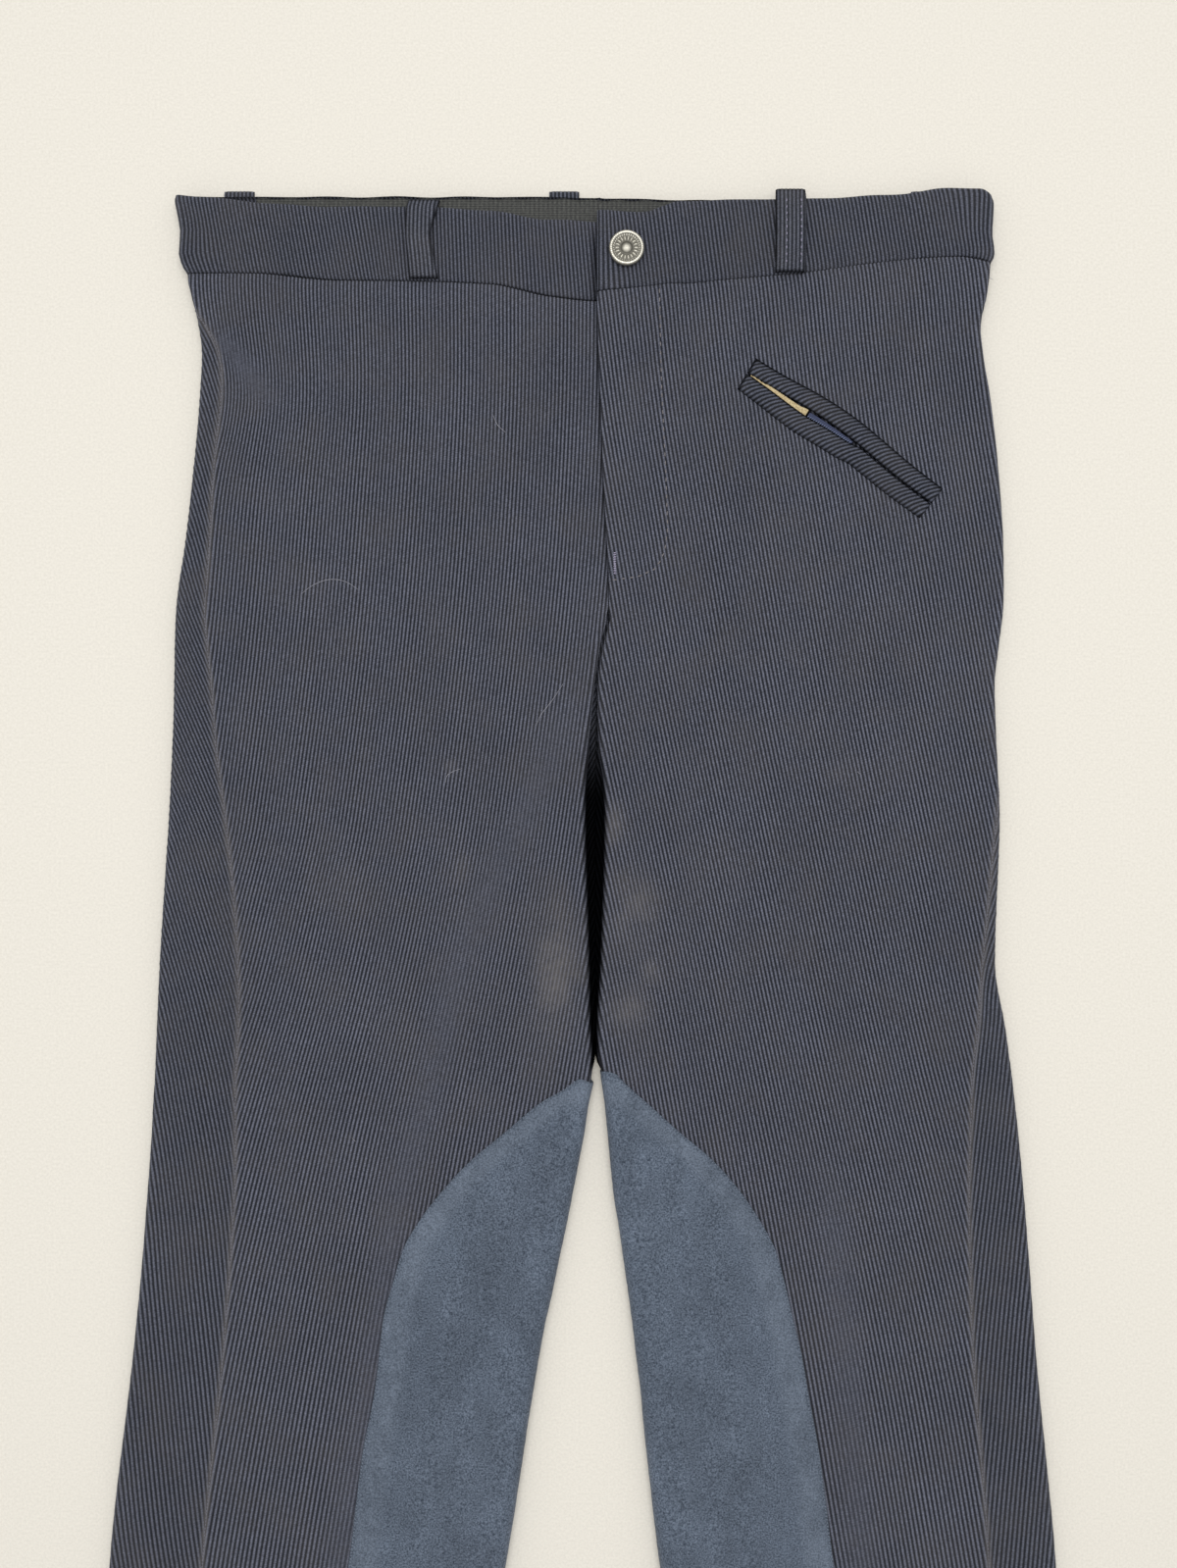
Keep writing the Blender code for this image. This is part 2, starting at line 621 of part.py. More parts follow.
def build():
    for old in list(bpy.data.objects):
        bpy.data.objects.remove(old, do_unlink=True)
    rib = {name: paint(f"rib cloth {name}", (0.045, 0.048, 0.062), 0.9) for name in ("left", "right")}
    for half in (LEFT, RIGHT):
        side = half.name
        fronts = panel_rows(half, half.front_point, front_columns)
        backs = panel_rows(half, half.back_point, back_columns)
        cloth(f"front_{side}", [[p for _, p in row] for row in fronts], CLOTH, rib[side])
        back_cloth = paint(f"rib cloth back {side}", (0.04, 0.043, 0.056), 0.9)
        cloth(f"back_{side}", [[p for _, p in row] for row in backs], CLOTH, back_cloth)
        suede = paint(f"suede {side}", (0.095, 0.125, 0.165), 0.95)
        cloth(f"knee_patch_{side}", patch_rows(half, fronts, backs), PATCH, suede)
        band = paint(f"rib cloth waistband {side}", (0.042, 0.045, 0.058), 0.9)
        cloth(f"waistband_{side}", band_rows(half, fronts, backs), CLOTH, band)
    elastic = paint("woven elastic", (0.05, 0.05, 0.042), 0.8)
    cloth("waistband_elastic", elastic_rows(), ELASTIC, elastic)
    for half, loop in ((LEFT, LEFT_LOOP), (RIGHT, RIGHT_LOOP)):
        strip = paint(f"rib strip front {half.name}", (0.045, 0.048, 0.062), 0.9)
        cloth(f"belt_loop_front_{half.name}", loop_rows(half, loop), LOOP, strip)
    for where, x in BACK_LOOPS:
        strip = paint(f"rib strip back {where}", (0.045, 0.048, 0.062), 0.9)
        cloth(f"belt_loop_back_{where}", back_loop_rows(x), LOOP, strip)
    whole = (0.0, 108.0)
    rows = pocket_rows(whole, lambda p: -p["upper"], lambda p: -0.15, WELT / 2)
    cloth("pocket_welt_upper", rows, WELT, paint("rib welt upper", (0.04, 0.043, 0.056), 0.9))
    rows = pocket_rows(whole, lambda p: p["gape"], lambda p: p["gape"] + p["lower"], WELT / 2)
    cloth("pocket_welt_lower", rows, WELT, paint("rib welt lower", (0.04, 0.043, 0.056), 0.9))
    rows = pocket_rows(TAPE_SPAN, lambda p: 0.15, lambda p: p["gape"] - 0.3, 0.5)
    cloth("pocket_tape", rows, 1.0, paint("cotton tape", (0.58, 0.48, 0.31), 0.9))
    rows = pocket_rows(SERGED_SPAN, lambda p: 0.15, lambda p: p["gape"] - 0.3, 0.5)
    cloth("pocket_serged_edge", rows, 1.0, paint("overlock thread", (0.09, 0.11, 0.2), 0.9))
    button("button_cap", paint("pewter", (0.42, 0.4, 0.33), 0.35, 1.0))
    stand_on_origin()


build()
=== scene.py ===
"""Riding breeches laid flat, front up: rib cloth, suede knee patches, elastic, stitching and button."""

import math

import bpy
import numpy as np
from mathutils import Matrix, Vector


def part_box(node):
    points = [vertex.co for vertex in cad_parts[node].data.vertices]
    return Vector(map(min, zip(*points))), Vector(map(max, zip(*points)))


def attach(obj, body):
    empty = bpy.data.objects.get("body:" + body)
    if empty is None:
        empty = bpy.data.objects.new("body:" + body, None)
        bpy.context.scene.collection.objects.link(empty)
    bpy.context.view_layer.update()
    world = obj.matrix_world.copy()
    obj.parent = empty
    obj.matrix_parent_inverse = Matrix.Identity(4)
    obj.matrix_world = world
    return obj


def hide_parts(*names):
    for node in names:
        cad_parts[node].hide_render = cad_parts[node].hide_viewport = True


bl_info = {
    "name": "Riding breeches",
    "version": (1, 0, 0),
    "blender": (4, 5, 0),
    "location": "View3D > Sidebar > Breeches",
    "description": "Builds laid-out riding breeches over a packed CAD frame",
    "category": "Object",
}

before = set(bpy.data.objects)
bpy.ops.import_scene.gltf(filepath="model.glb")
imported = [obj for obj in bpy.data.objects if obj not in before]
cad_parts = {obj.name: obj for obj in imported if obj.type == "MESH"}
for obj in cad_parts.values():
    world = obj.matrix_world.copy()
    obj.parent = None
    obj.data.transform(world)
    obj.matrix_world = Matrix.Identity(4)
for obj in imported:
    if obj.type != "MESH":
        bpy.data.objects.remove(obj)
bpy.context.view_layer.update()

# Lengths below are millimetres, as in the cutting of the breeches: x to the wearer's left, d down
# from the waist top, z up from the surface. s runs along the cloth from the outer fold, over 0 on top.
CLOTH = 2.0  # rib cloth wall
SKIN = 1.0  # from the middle of the wall to the tops of its ribs
PATCH = 1.2  # suede wall
ELASTIC = 1.2  # inner waist elastic wall
ELASTIC_SET = 1.2
LOOP = 1.6  # belt loop wall
WELT = 1.2  # pocket welt wall
SEAM_GAP = 0.3
SEWN = 0.08  # what stays open along a sewn side seam
REST_GAP = 0.9
FOLD_GAP = 3.0
FOLD_REACH = 60.0
FLY_LAP = 8.0
BAND_LAP = 30.0
CROTCH_TOP = 200.0
CROTCH = 414.0
CROTCH_END = 424.0
PATCH_TOP = 424.0
PATCH_END = 820.0
LAP_REACH, BAND_REACH, LAP_FALL = 10.5, 22.0, 13.0  # from the fly edge to where the lap starts to fall
CREASE_START = {"left": 215, "right": 440}
CREASE_RISE, CREASE_WIDTH, CREASE_FADE_IN = 1.2, 8.5, 70
VALLEY_DARKENS = (222, 292)  # where the valley between the legs is first in shade, and in full shade
PATCH_EASE = 12.0  # how far down a patch comes to its full thickness at the inner fold
LENGTH = 950.0
WAIST = 38.0  # the waist seam, before it follows its own curve
BUTTON_X, BUTTON_D = 13.5, 27.2
VIEW_CENTRE = (-4.7, 283.2)  # where the lens stands over the breeches
LOOP_WIDTH = 14.5
FOLD_RADIUS = (CLOTH + FOLD_GAP) / 2
QUARTER = FOLD_RADIUS * math.pi / 2
BAND_LIFT = LOOP + SEAM_GAP
PATCH_LIFT = PATCH + SEAM_GAP
LAP_RISE = CLOTH + SEAM_GAP
RIB_SAMPLES = 4  # points across one rib
STITCH_WOBBLE = 0.12  # how far a stitch may be turned, in radians
BACK_LOOP_TOP, BACK_LOOP_END = -5.0, 41.0
WELT_SPAN, WELT_STEPS = (0, 108), (301, 26)


class Table:
    """Rows with named columns, read along smooth lines that don't overshoot."""

    def __init__(self, columns, rows):
        self.columns = columns.split()
        self.rows = np.array(rows, float)
        keys, values = self.rows[:, :1], self.rows
        slope = np.diff(values, axis=0) / np.diff(keys, axis=0)
        self.slopes = np.zeros_like(values)
        self.slopes[0], self.slopes[-1] = slope[0], slope[-1]
        same = slope[:-1] * slope[1:] > 0
        total = np.where(same, slope[:-1] + slope[1:], 1.0)
        self.slopes[1:-1] = np.where(same, 2 * slope[:-1] * slope[1:] / total, 0.0)

    def at(self, column, key):
        k = self.columns.index(column)
        keys, values = self.rows[:, 0], self.rows[:, k]
        key = np.clip(np.asarray(key, float), keys[0], keys[-1])
        i = np.clip(np.searchsorted(keys, key) - 1, 0, len(keys) - 2)
        width = keys[i + 1] - keys[i]
        t = (key - keys[i]) / width
        start, end = self.slopes[i, k] * width, self.slopes[i + 1, k] * width
        jump = values[i + 1] - values[i]
        return values[i] + t * (start + t * (3 * jump - 2 * start - end + t * (start + end - 2 * jump)))


# One row for each section across the breeches: where each leg ends in the outline, how far past the
# outer fold the side seam lies, and where the pressed crease runs.
SECTION = Table(
    "d left_edge left_seam left_crease left_inner right_inner right_crease right_seam right_edge",
    (
        (0, -204.6, -8.0, -5.0, 5.2, 5.2, 15.0, -8.0, 190.8),
        (18, -201.5, -8.0, -5.0, 5.2, 5.2, 15.0, -8.0, 190.0),
        (27, -202.3, -8.0, -5.0, 5.2, 5.2, 15.0, -8.0, 191.1),
        (38, -198.9, -8.0, -5.0, 5.2, 5.2, 15.0, -8.0, 188.8),
        (49, -195.9, -3.0, -5.0, 5.2, 5.2, 15.0, -8.0, 187.3),
        (61, -193.4, 3.8, -5.0, 5.2, 5.2, 15.0, -8.0, 184.9),
        (76, -191.8, 9.7, -5.0, 5.2, 5.2, 15.0, -8.0, 186.3),
        (94, -192.7, 11.8, -5.0, 5.2, 5.2, 15.0, -8.0, 189.3),
        (125, -195.3, 11.2, -5.0, 5.2, 5.2, 20.0, -8.0, 193.0),
        (170, -200.4, 13.5, -5.0, 5.2, 5.2, 32.0, -8.0, 196.0),
        (186, -202.9, 14.8, -5.0, 5.2, 5.2, 36.0, -8.0, 196.2),
        (200, -204.4, 15.3, -5.0, 5.2, 5.2, 40.0, -8.0, 195.8),
        (217, -205.0, 17.2, -7.0, 1.1, 1.9, 45.0, -8.0, 193.7),
        (236, -205.3, 19.4, -12.0, -1.6, -0.6, 51.0, -7.0, 191.8),
        (264, -206.1, 22.3, -20.5, -3.9, -0.4, 59.0, -4.0, 192.7),
        (281, -206.9, 25.1, -27.5, -5.0, 1.5, 64.0, -0.6, 193.5),
        (297, -207.7, 28.1, -35.0, -5.3, 2.3, 69.0, 2.9, 194.3),
        (370, -212.2, 38.8, -67.0, -3.5, 0.3, 88.0, 7.5, 192.0),
        (400, -213.5, 40.3, -74.0, -3.0, -1.3, 95.0, 14.4, 196.8),
        (414, -214.0, 40.1, -77.5, -2.2, -1.0, 97.9, 18.0, 198.7),
        (424, -214.4, 39.9, -80.0, -2.5, 1.6, 100.0, 20.5, 200.1),
        (436, -215.2, 40.5, -83.0, -4.5, 3.0, 102.0, 22.1, 201.5),
        (450, -215.9, 41.3, -87.0, -6.5, 4.2, 105.0, 24.0, 203.0),
        (480, -218.0, 43.0, -95.0, -12.2, 7.3, 110.0, 27.5, 205.8),
        (512, -220.4, 43.4, -101.0, -18.6, 12.1, 114.5, 29.5, 208.3),
        (558, -224.9, 44.3, -107.5, -28.3, 18.2, 119.5, 31.4, 211.7),
        (660, -236.3, 45.6, -125.0, -44.6, 29.7, 127.0, 33.4, 221.3),
        (760, -241.3, 43.9, -150.0, -64.5, 50.5, 136.0, 35.9, 226.8),
        (820, -239.3, 39.0, -159.0, -82.5, 66.2, 143.0, 32.0, 222.5),
        (950, -238.7, 32.4, -178.0, -119.0, 95.0, 154.0, 29.4, 214.3),
    ),
)

# The front edge of each knee patch, which turns under the leg by as much again.
KNEE_PATCH = Table(
    "d left right",
    (
        (424, -9.8, 8.8),
        (430, -17.5, 16.0),
        (436, -27.5, 22.9),
        (450, -43.9, 38.3),
        (464, -60.8, 54.7),
        (480, -75.8, 68.8),
        (494, -86.5, 78.2),
        (507, -93.9, 85.1),
        (523, -98.7, 89.7),
        (540, -103.3, 93.6),
        (558, -105.3, 98.0),
        (578, -108.0, 101.4),
        (604, -113.2, 106.2),
        (630, -116.5, 109.8),
        (650, -118.9, 112.1),
        (760, -135.0, 127.0),
        (820, -146.0, 136.0),
    ),
)

# The top of the waistband and its seam to the body, front and back, across each half.
LEFT_WAIST = Table(
    "x front_top front_seam back_top back_seam",
    (
        (-203, -0.5, 38.0, -0.5, 38.0),
        (-166, 2.8, 37.5, -0.4, 38.5),
        (-127, 5.2, 40.6, -0.4, 39.0),
        (-91, 5.2, 41.0, -0.4, 39.5),
        (-52, 7.2, 42.5, -0.4, 40.0),
        (-24, 11.3, 48.2, -0.4, 40.5),
        (0, 12.3, 50.5, 0.3, 41.0),
        (31, 12.3, 50.5, 0.6, 41.0),
    ),
)
RIGHT_WAIST = Table(
    "x front_top front_seam back_top back_seam",
    (
        (-1, 8.0, 46.6, 0.3, 41.0),
        (24, 8.5, 44.1, 0.6, 40.5),
        (33, 6.1, 43.0, 0.9, 40.3),
        (43, 2.8, 42.1, 1.2, 40.0),
        (61, 1.9, 40.3, 1.3, 39.5),
        (101, 1.4, 36.6, 1.2, 38.5),
        (127, 0.4, 33.0, 0.4, 37.5),
        (156, -1.5, 30.2, -0.2, 36.0),
        (174, -3.3, 29.6, -0.4, 35.0),
        (183, -3.2, 30.8, -0.4, 34.0),
        (190, 1.4, 33.0, 1.4, 33.0),
    ),
)

# The right front's edge over the fly, how far the left front runs under it, and the centre back seam.
CENTRE = Table(
    "d fly lap back",
    (
        (0, -0.5, FLY_LAP, 1.0),
        (46, -0.5, FLY_LAP, 1.0),
        (94, 0.9, FLY_LAP, 0.6),
        (145, 3.0, FLY_LAP, 0.1),
        (170, 4.4, FLY_LAP, -0.2),
        (186, 5.2, -SEAM_GAP, -0.4),
        (200, 5.2, -SEAM_GAP, -0.6),
        (297, 5.2, -SEAM_GAP, -1.4),
    ),
)

LEFT_LOOP = Table(
    "d start end rise",
    (
        (3.2, -91.2, -76.0, 0.0),
        (8.0, -92.0, -77.5, 1.2),
        (20.0, -92.2, -80.2, 2.0),
        (32.0, -91.2, -78.6, 1.4),
        (40.5, -90.6, -77.0, 0.0),
    ),
)

RIGHT_LOOP = Table(
    "d start end rise",
    (
        (-2.0, 85.2, 99.2, 0.0),
        (4.0, 85.0, 99.6, 1.2),
        (17.0, 85.0, 99.5, 1.8),
        (30.0, 85.0, 99.4, 1.2),
        (37.5, 85.0, 99.2, 0.0),
    ),
)

BACK_LOOPS = (("left", -174.5), ("centre", -16.5), ("right", 159.5))

POCKET = Table(
    "along x d gape upper lower",
    (
        (0.0, 72.4, 85.2, 0.3, 7.6, 8.4),
        (12.0, 82.6, 91.3, 1.3, 7.6, 8.8),
        (34.0, 101.8, 102.4, 3.6, 8.2, 9.2),
        (46.0, 111.8, 109.0, 3.0, 8.6, 9.4),
        (58.0, 121.6, 116.3, 2.2, 8.8, 9.2),
        (66.0, 128.0, 121.6, 0.4, 8.8, 9.2),
        (88.0, 145.2, 136.2, 0.3, 8.6, 8.8),
        (108.0, 160.3, 148.0, 0.3, 8.2, 8.2),
    ),
)

# How the ribs lean: change of x for each mm down on the fronts, change of s on the backs, and how far
# the ribs spread apart down the leg.
GRAIN = Table(
    "d left_front right_front left_back right_back left_spread right_spread",
    (
        (0, 0.0, 0.12, 0.30, 0.16, 1.0, 1.0),
        (60, -0.01, 0.13, 0.34, 0.18, 1.0, 1.0),
        (95, -0.03, 0.14, 0.38, 0.20, 1.0, 1.0),
        (130, -0.05, 0.18, 0.40, 0.22, 1.0, 1.0),
        (160, -0.075, 0.18, 0.42, 0.24, 1.0, 1.0),
        (195, -0.10, 0.18, 0.44, 0.26, 1.0, 1.0),
        (230, -0.125, 0.195, 0.45, 0.27, 1.0, 1.0),
        (265, -0.145, 0.215, 0.46, 0.28, 1.0, 1.0),
        (300, -0.155, 0.22, 0.46, 0.28, 1.0, 1.0),
        (340, -0.18, 0.22, 0.44, 0.28, 1.02, 1.0),
        (380, -0.20, 0.215, 0.42, 0.28, 1.04, 1.0),
        (415, -0.205, 0.215, 0.39, 0.28, 1.07, 1.01),
        (450, -0.19, 0.215, 0.36, 0.28, 1.10, 1.03),
        (490, -0.17, 0.20, 0.31, 0.28, 1.13, 1.06),
        (530, -0.165, 0.195, 0.29, 0.235, 1.16, 1.09),
        (604, -0.165, 0.175, 0.27, 0.20, 1.19, 1.12),
        (660, -0.16, 0.175, 0.24, 0.165, 1.2, 1.12),
        (950, -0.14, 0.15, 0.20, 0.16, 1.2, 1.12),
    ),
)

# Soft folds left by wear and folding away: a ridge or trough from one point to another.
FOLDS = (
    # x0, d0, x1, d1, width, height
    (-187.0, 61.0, -156.5, 102.0, 5.0, 1.1),
    (-178.0, 80.0, -166.0, 108.0, 5.0, -0.9),
    (-176.0, 62.0, -150.0, 94.0, 5.5, -0.6),
    (-36.0, 176.0, -80.0, 226.0, 7.0, -0.35),
    (-4.0, 207.0, -27.0, 246.0, 6.0, 0.6),
    (-99.0, 300.0, -86.0, 396.0, 11.0, -0.5),
    (-88.0, 392.0, -109.0, 480.0, 8.0, -0.8),
    (-108.0, 470.0, -122.0, 560.0, 6.5, -1.2),
    (-121.0, 552.0, -136.0, 662.0, 6.5, -1.3),
    (-118.0, 283.0, -143.0, 522.0, 13.0, 0.6),
    (-143.0, 510.0, -158.0, 650.0, 11.0, 0.5),
    (-50.0, 330.0, -88.0, 450.0, 12.0, 0.5),
    (5.0, 210.0, 30.0, 300.0, 7.0, 0.5),
    (108.0, 350.0, 121.0, 447.0, 13.0, 0.6),
    (154.0, 366.0, 159.0, 474.0, 8.0, -0.9),
    (94.0, 488.0, 110.0, 600.0, 6.0, -0.8),
    (109.0, 592.0, 119.0, 662.0, 6.0, -0.8),
    (184.0, 92.0, 187.0, 136.0, 5.0, -0.5),
    (166.0, 116.0, 170.0, 200.0, 9.0, 0.5),
    (-188.0, 700.0, -196.0, 880.0, 14.0, 0.6),
    (176.0, 720.0, 172.0, 890.0, 13.0, 0.5),
)
BACK_FOLDS = (
    (-30.0, 120.0, -120.0, 260.0, 16.0, 0.4),
    (40.0, 150.0, 130.0, 290.0, 18.0, 0.4),
    (-60.0, 300.0, -150.0, 380.0, 13.0, 0.45),
    (50.0, 310.0, 140.0, 400.0, 15.0, 0.4),
    (-170.0, 520.0, -190.0, 700.0, 14.0, 0.4),
    (160.0, 560.0, 180.0, 720.0, 14.0, 0.4),
)


def ease(value, start, end):
    """Runs smoothly from 0 at start to 1 at end."""
    t = np.clip((np.asarray(value, float) - start) / (end - start), 0.0, 1.0)
    return t * t * (3 - 2 * t)


def folds_at(folds, x, d):
    """The height of the soft folds at a point."""
    total = np.zeros(np.broadcast(x, d).shape)
    for x0, d0, x1, d1, width, height in folds:
        run_x, run_d = x1 - x0, d1 - d0
        long = math.hypot(run_x, run_d)
        along = ((x - x0) * run_x + (d - d0) * run_d) / long
        across = ((x - x0) * run_d - (d - d0) * run_x) / long
        across = across + 0.06 * width * np.sin(along / width)
        ends = ease(along, -width, 0.35 * long) * (1 - ease(along, 0.65 * long, long + width))
        total = total + height * ends * np.exp(-((across / width) ** 2))
    return total


def hip_bend(half, x, d):
    """How far the ribs swing in where the left hip's fold pulls on them."""
    if half.name == "right":
        return 0 * x
    return 8.0 * np.exp(-(((d - 96) / 34) ** 2) - np.maximum(0.0, x + 190) / 45)


def in_pocket(x, d):
    """1 on the front inside the pocket's slit, where shade is painted."""
    total = np.zeros(np.broadcast(x, d).shape)
    for start, end in zip(POCKET.rows[:-1], POCKET.rows[1:]):
        run_x, run_d = end[1:3] - start[1:3]
        long = math.hypot(run_x, run_d)
        share = ((x - start[1]) * run_x + (d - start[2]) * run_d) / long**2
        out = (run_x * (d - start[2]) - run_d * (x - start[1])) / long
        gape = start[3] + (end[3] - start[3]) * share
        here = (share > 0) & (share < 1)
        total = np.maximum(total, here * ease(out, -1.5, -0.5) * (1 - ease(out, gape + 0.5, gape + 1.5)))
    return total


class Half:
    """The left or right half: inward is +1 where the centre lies toward +x."""

    def __init__(self, name, inward, waist):
        self.name = name
        self.inward = inward
        self.waist = waist
        steps = np.arange(0.0, LENGTH + 1)
        self.steps = steps
        self.lean = {}
        for part in ("front", "back"):
            lean = GRAIN.at(f"{name}_{part}", steps)
            self.lean[part] = np.concatenate([[0.0], np.cumsum((lean[1:] + lean[:-1]) / 2)])

    def section(self, what, d):
        return SECTION.at(f"{self.name}_{what}", d)

    def outer(self, d):
        return self.section("edge", d) + self.inward * CLOTH / 2

    def inner(self, d):
        thick = ease(d, PATCH_TOP, PATCH_TOP + PATCH_EASE)
        inset = CLOTH / 2 + PATCH_LIFT * (thick - ease(d, PATCH_END, LENGTH))
        return self.section("inner", d) - self.inward * inset

    def lift(self, x, d):
        loops = BAND_LIFT * (1 - ease(d, 44, 70))
        beyond = self.inward * (KNEE_PATCH.at(self.name, d) - x) + 2.2 * np.maximum(0.0, PATCH_TOP - d)
        patch = PATCH_LIFT * (1 - ease(beyond, 26, 50))
        return loops + patch * (1 - ease(d, PATCH_END + 2, LENGTH))

    def back_height(self, x, d):
        clear = ease(np.abs(x - self.outer(d)), 6, 40) * ease(d, 70, 110)
        return CLOTH / 2 + self.lift(x, d) + clear * folds_at(BACK_FOLDS, x, d)

    def gap(self, x, d):
        least = REST_GAP + (ELASTIC + 2 * SEAM_GAP - REST_GAP) * (1 - ease(d, 50, 94))
        near_outer = 1 - ease(np.abs(x - self.outer(d)), 4, FOLD_REACH)
        near_inner = (1 - ease(np.abs(x - self.inner(d)), 4, FOLD_REACH)) * ease(d, 170, 217)
        return least + (FOLD_GAP - least) * np.maximum(near_outer, near_inner)

    def lap(self, x, d):
        if self.name == "left":
            return np.zeros(np.broadcast(x, d).shape)
        reach = LAP_REACH + BAND_REACH * (1 - ease(d, 54, 90))
        past = (x - CENTRE.at("fly", d) - reach) / LAP_FALL
        return LAP_RISE * (1 - ease(past, 0, 1)) * (1 - ease(d, 187, CROTCH_TOP))

    def crease(self, x, d):
        """1 on the pressed crease, and 0 away from it."""
        start = CREASE_START[self.name]
        past = (x - self.section("crease", d)) / CREASE_WIDTH
        return np.exp(-past * past) * ease(d, start, start + CREASE_FADE_IN)

    def front_height(self, x, d):
        clear = ease(np.abs(x - self.outer(d)), 4, 22) * ease(d, 46, 74)
        relief = CREASE_RISE * self.crease(x, d) + clear * folds_at(FOLDS, x, d)
        return CLOTH * 1.5 + self.lift(x, d) + self.gap(x, d) + self.lap(x, d) + relief

    def s_at(self, x, d):
        return QUARTER - FOLD_RADIUS + self.inward * (x - self.outer(d))

    def round_outer(self, s, d):
        edge = self.outer(d)
        a = np.clip(s, -QUARTER, QUARTER) / FOLD_RADIUS
        rest = np.maximum(np.abs(s) - QUARTER, 0.0)
        x = edge + self.inward * (FOLD_RADIUS * (1 - np.cos(a)) + rest)
        arc = self.back_height(edge, d) + FOLD_RADIUS * (1 + np.sin(a))
        flat = np.where(s > 0, self.front_height(x, d), self.back_height(x, d))
        turning = np.abs(s) <= QUARTER
        z = np.where(turning, arc, flat)
        nx = np.where(turning, -self.inward * np.cos(a), 0.0)
        nz = np.where(turning, np.sin(a), np.where(s > 0, 1.0, -1.0))
        return x, z, nx, nz

    def turn_end(self, s, d, end_x, turn, above):
        start_x = end_x - self.inward * FOLD_RADIUS * np.sin(turn)
        start = self.s_at(start_x, d)
        x, z, nx, nz = self.round_outer(s, d)
        way = 1.0 if above else -1.0
        height = self.front_height(start_x, d) if above else self.back_height(start_x, d)
        a = np.clip((np.abs(s) - start) / FOLD_RADIUS, 0.0, turn)
        rest = np.abs(s) - start - a * FOLD_RADIUS
        past = np.abs(s) > start
        run = FOLD_RADIUS * np.sin(a) + rest * np.cos(a)
        fall = FOLD_RADIUS * (1 - np.cos(a)) + rest * np.sin(a)
        x = np.where(past, start_x + self.inward * run, x)
        z = np.where(past, height - way * fall, z)
        nx = np.where(past, self.inward * np.sin(a), nx)
        nz = np.where(past, way * np.cos(a), nz)
        return x, z, nx, nz

    def front_end(self, d):
        low = d > CROTCH_TOP
        turn = math.pi / 2 * ease(d, CROTCH_TOP, 217)
        drop = 1.2 * ease(d, CROTCH_TOP, 217) * (1 - ease(d, CROTCH, CROTCH_END))
        lap = CENTRE.at("lap", d) if self.name == "left" else 0.0
        return np.where(low, self.inner(d), CENTRE.at("fly", d) + lap), turn, drop

    def end_length(self, x, turn, d, more):
        start_x = x - self.inward * FOLD_RADIUS * np.sin(turn)
        return self.s_at(start_x, d) + turn * FOLD_RADIUS + more

    def front_length(self, d):
        x, turn, drop = self.front_end(d)
        return self.end_length(x, turn, d, drop - np.where(d > CROTCH_TOP, SEAM_GAP / 2, 0.0))

    def front_point(self, s, d):
        x, turn, _ = self.front_end(d)
        return self.turn_end(s, d, x, turn, True)

    def back_end(self, d):
        share = ease(d, CROTCH, CROTCH_END)
        middle = CENTRE.at("back", d)
        return middle + share * (self.inner(d) - middle), math.pi / 2 * share

    def back_length(self, d):
        """The backs meet along the seat seam, and stop short of the fronts at the inseams."""
        x, turn = self.back_end(d)
        return self.end_length(x, turn, d, -SEAM_GAP / 2 * ease(d, CROTCH, CROTCH_END))

    def back_point(self, s, d):
        x, turn = self.back_end(d)
        return self.turn_end(s, d, x, turn, False)


LEFT = Half("left", 1, LEFT_WAIST)
RIGHT = Half("right", -1, RIGHT_WAIST)


def shift_from_frame():
    """Where the cutting measures stand in the frame, from the button's place and checked at the hem."""
    low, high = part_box("button_cap")
    shift_x, shift_y = (low[0] + high[0]) * 500 - BUTTON_X, (low[1] + high[1]) * 500 + BUTTON_D
    if abs(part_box("back_left")[0][1] * 1000 + LENGTH - shift_y) > 0.2:
        raise ValueError("the packed model was made from other sizes than these: build and pack it again")
    return shift_x, shift_y


SHIFT_X, SHIFT_Y = shift_from_frame()


def to_frame(x, d, z):
    """Points in the frame's metres from cutting measures."""
    x, d, z = np.broadcast_arrays(x, d, z)
    return np.stack([(x + SHIFT_X) / 1000, (SHIFT_Y - d) / 1000, z / 1000], axis=-1)


def noise(a, b, seed):
    """Smooth value noise from -1 to 1 with one feature for each unit of a and b."""
    grid = np.random.default_rng(seed).uniform(-1, 1, (64, 64))
    i, j = np.floor(a).astype(int), np.floor(b).astype(int)
    u, v = a - i, b - j
    u, v = u * u * (3 - 2 * u), v * v * (3 - 2 * v)
    low = grid[i % 64, j % 64] * (1 - u) + grid[(i + 1) % 64, j % 64] * u
    high = grid[i % 64, (j + 1) % 64] * (1 - u) + grid[(i + 1) % 64, (j + 1) % 64] * u
    return low * (1 - v) + high * v


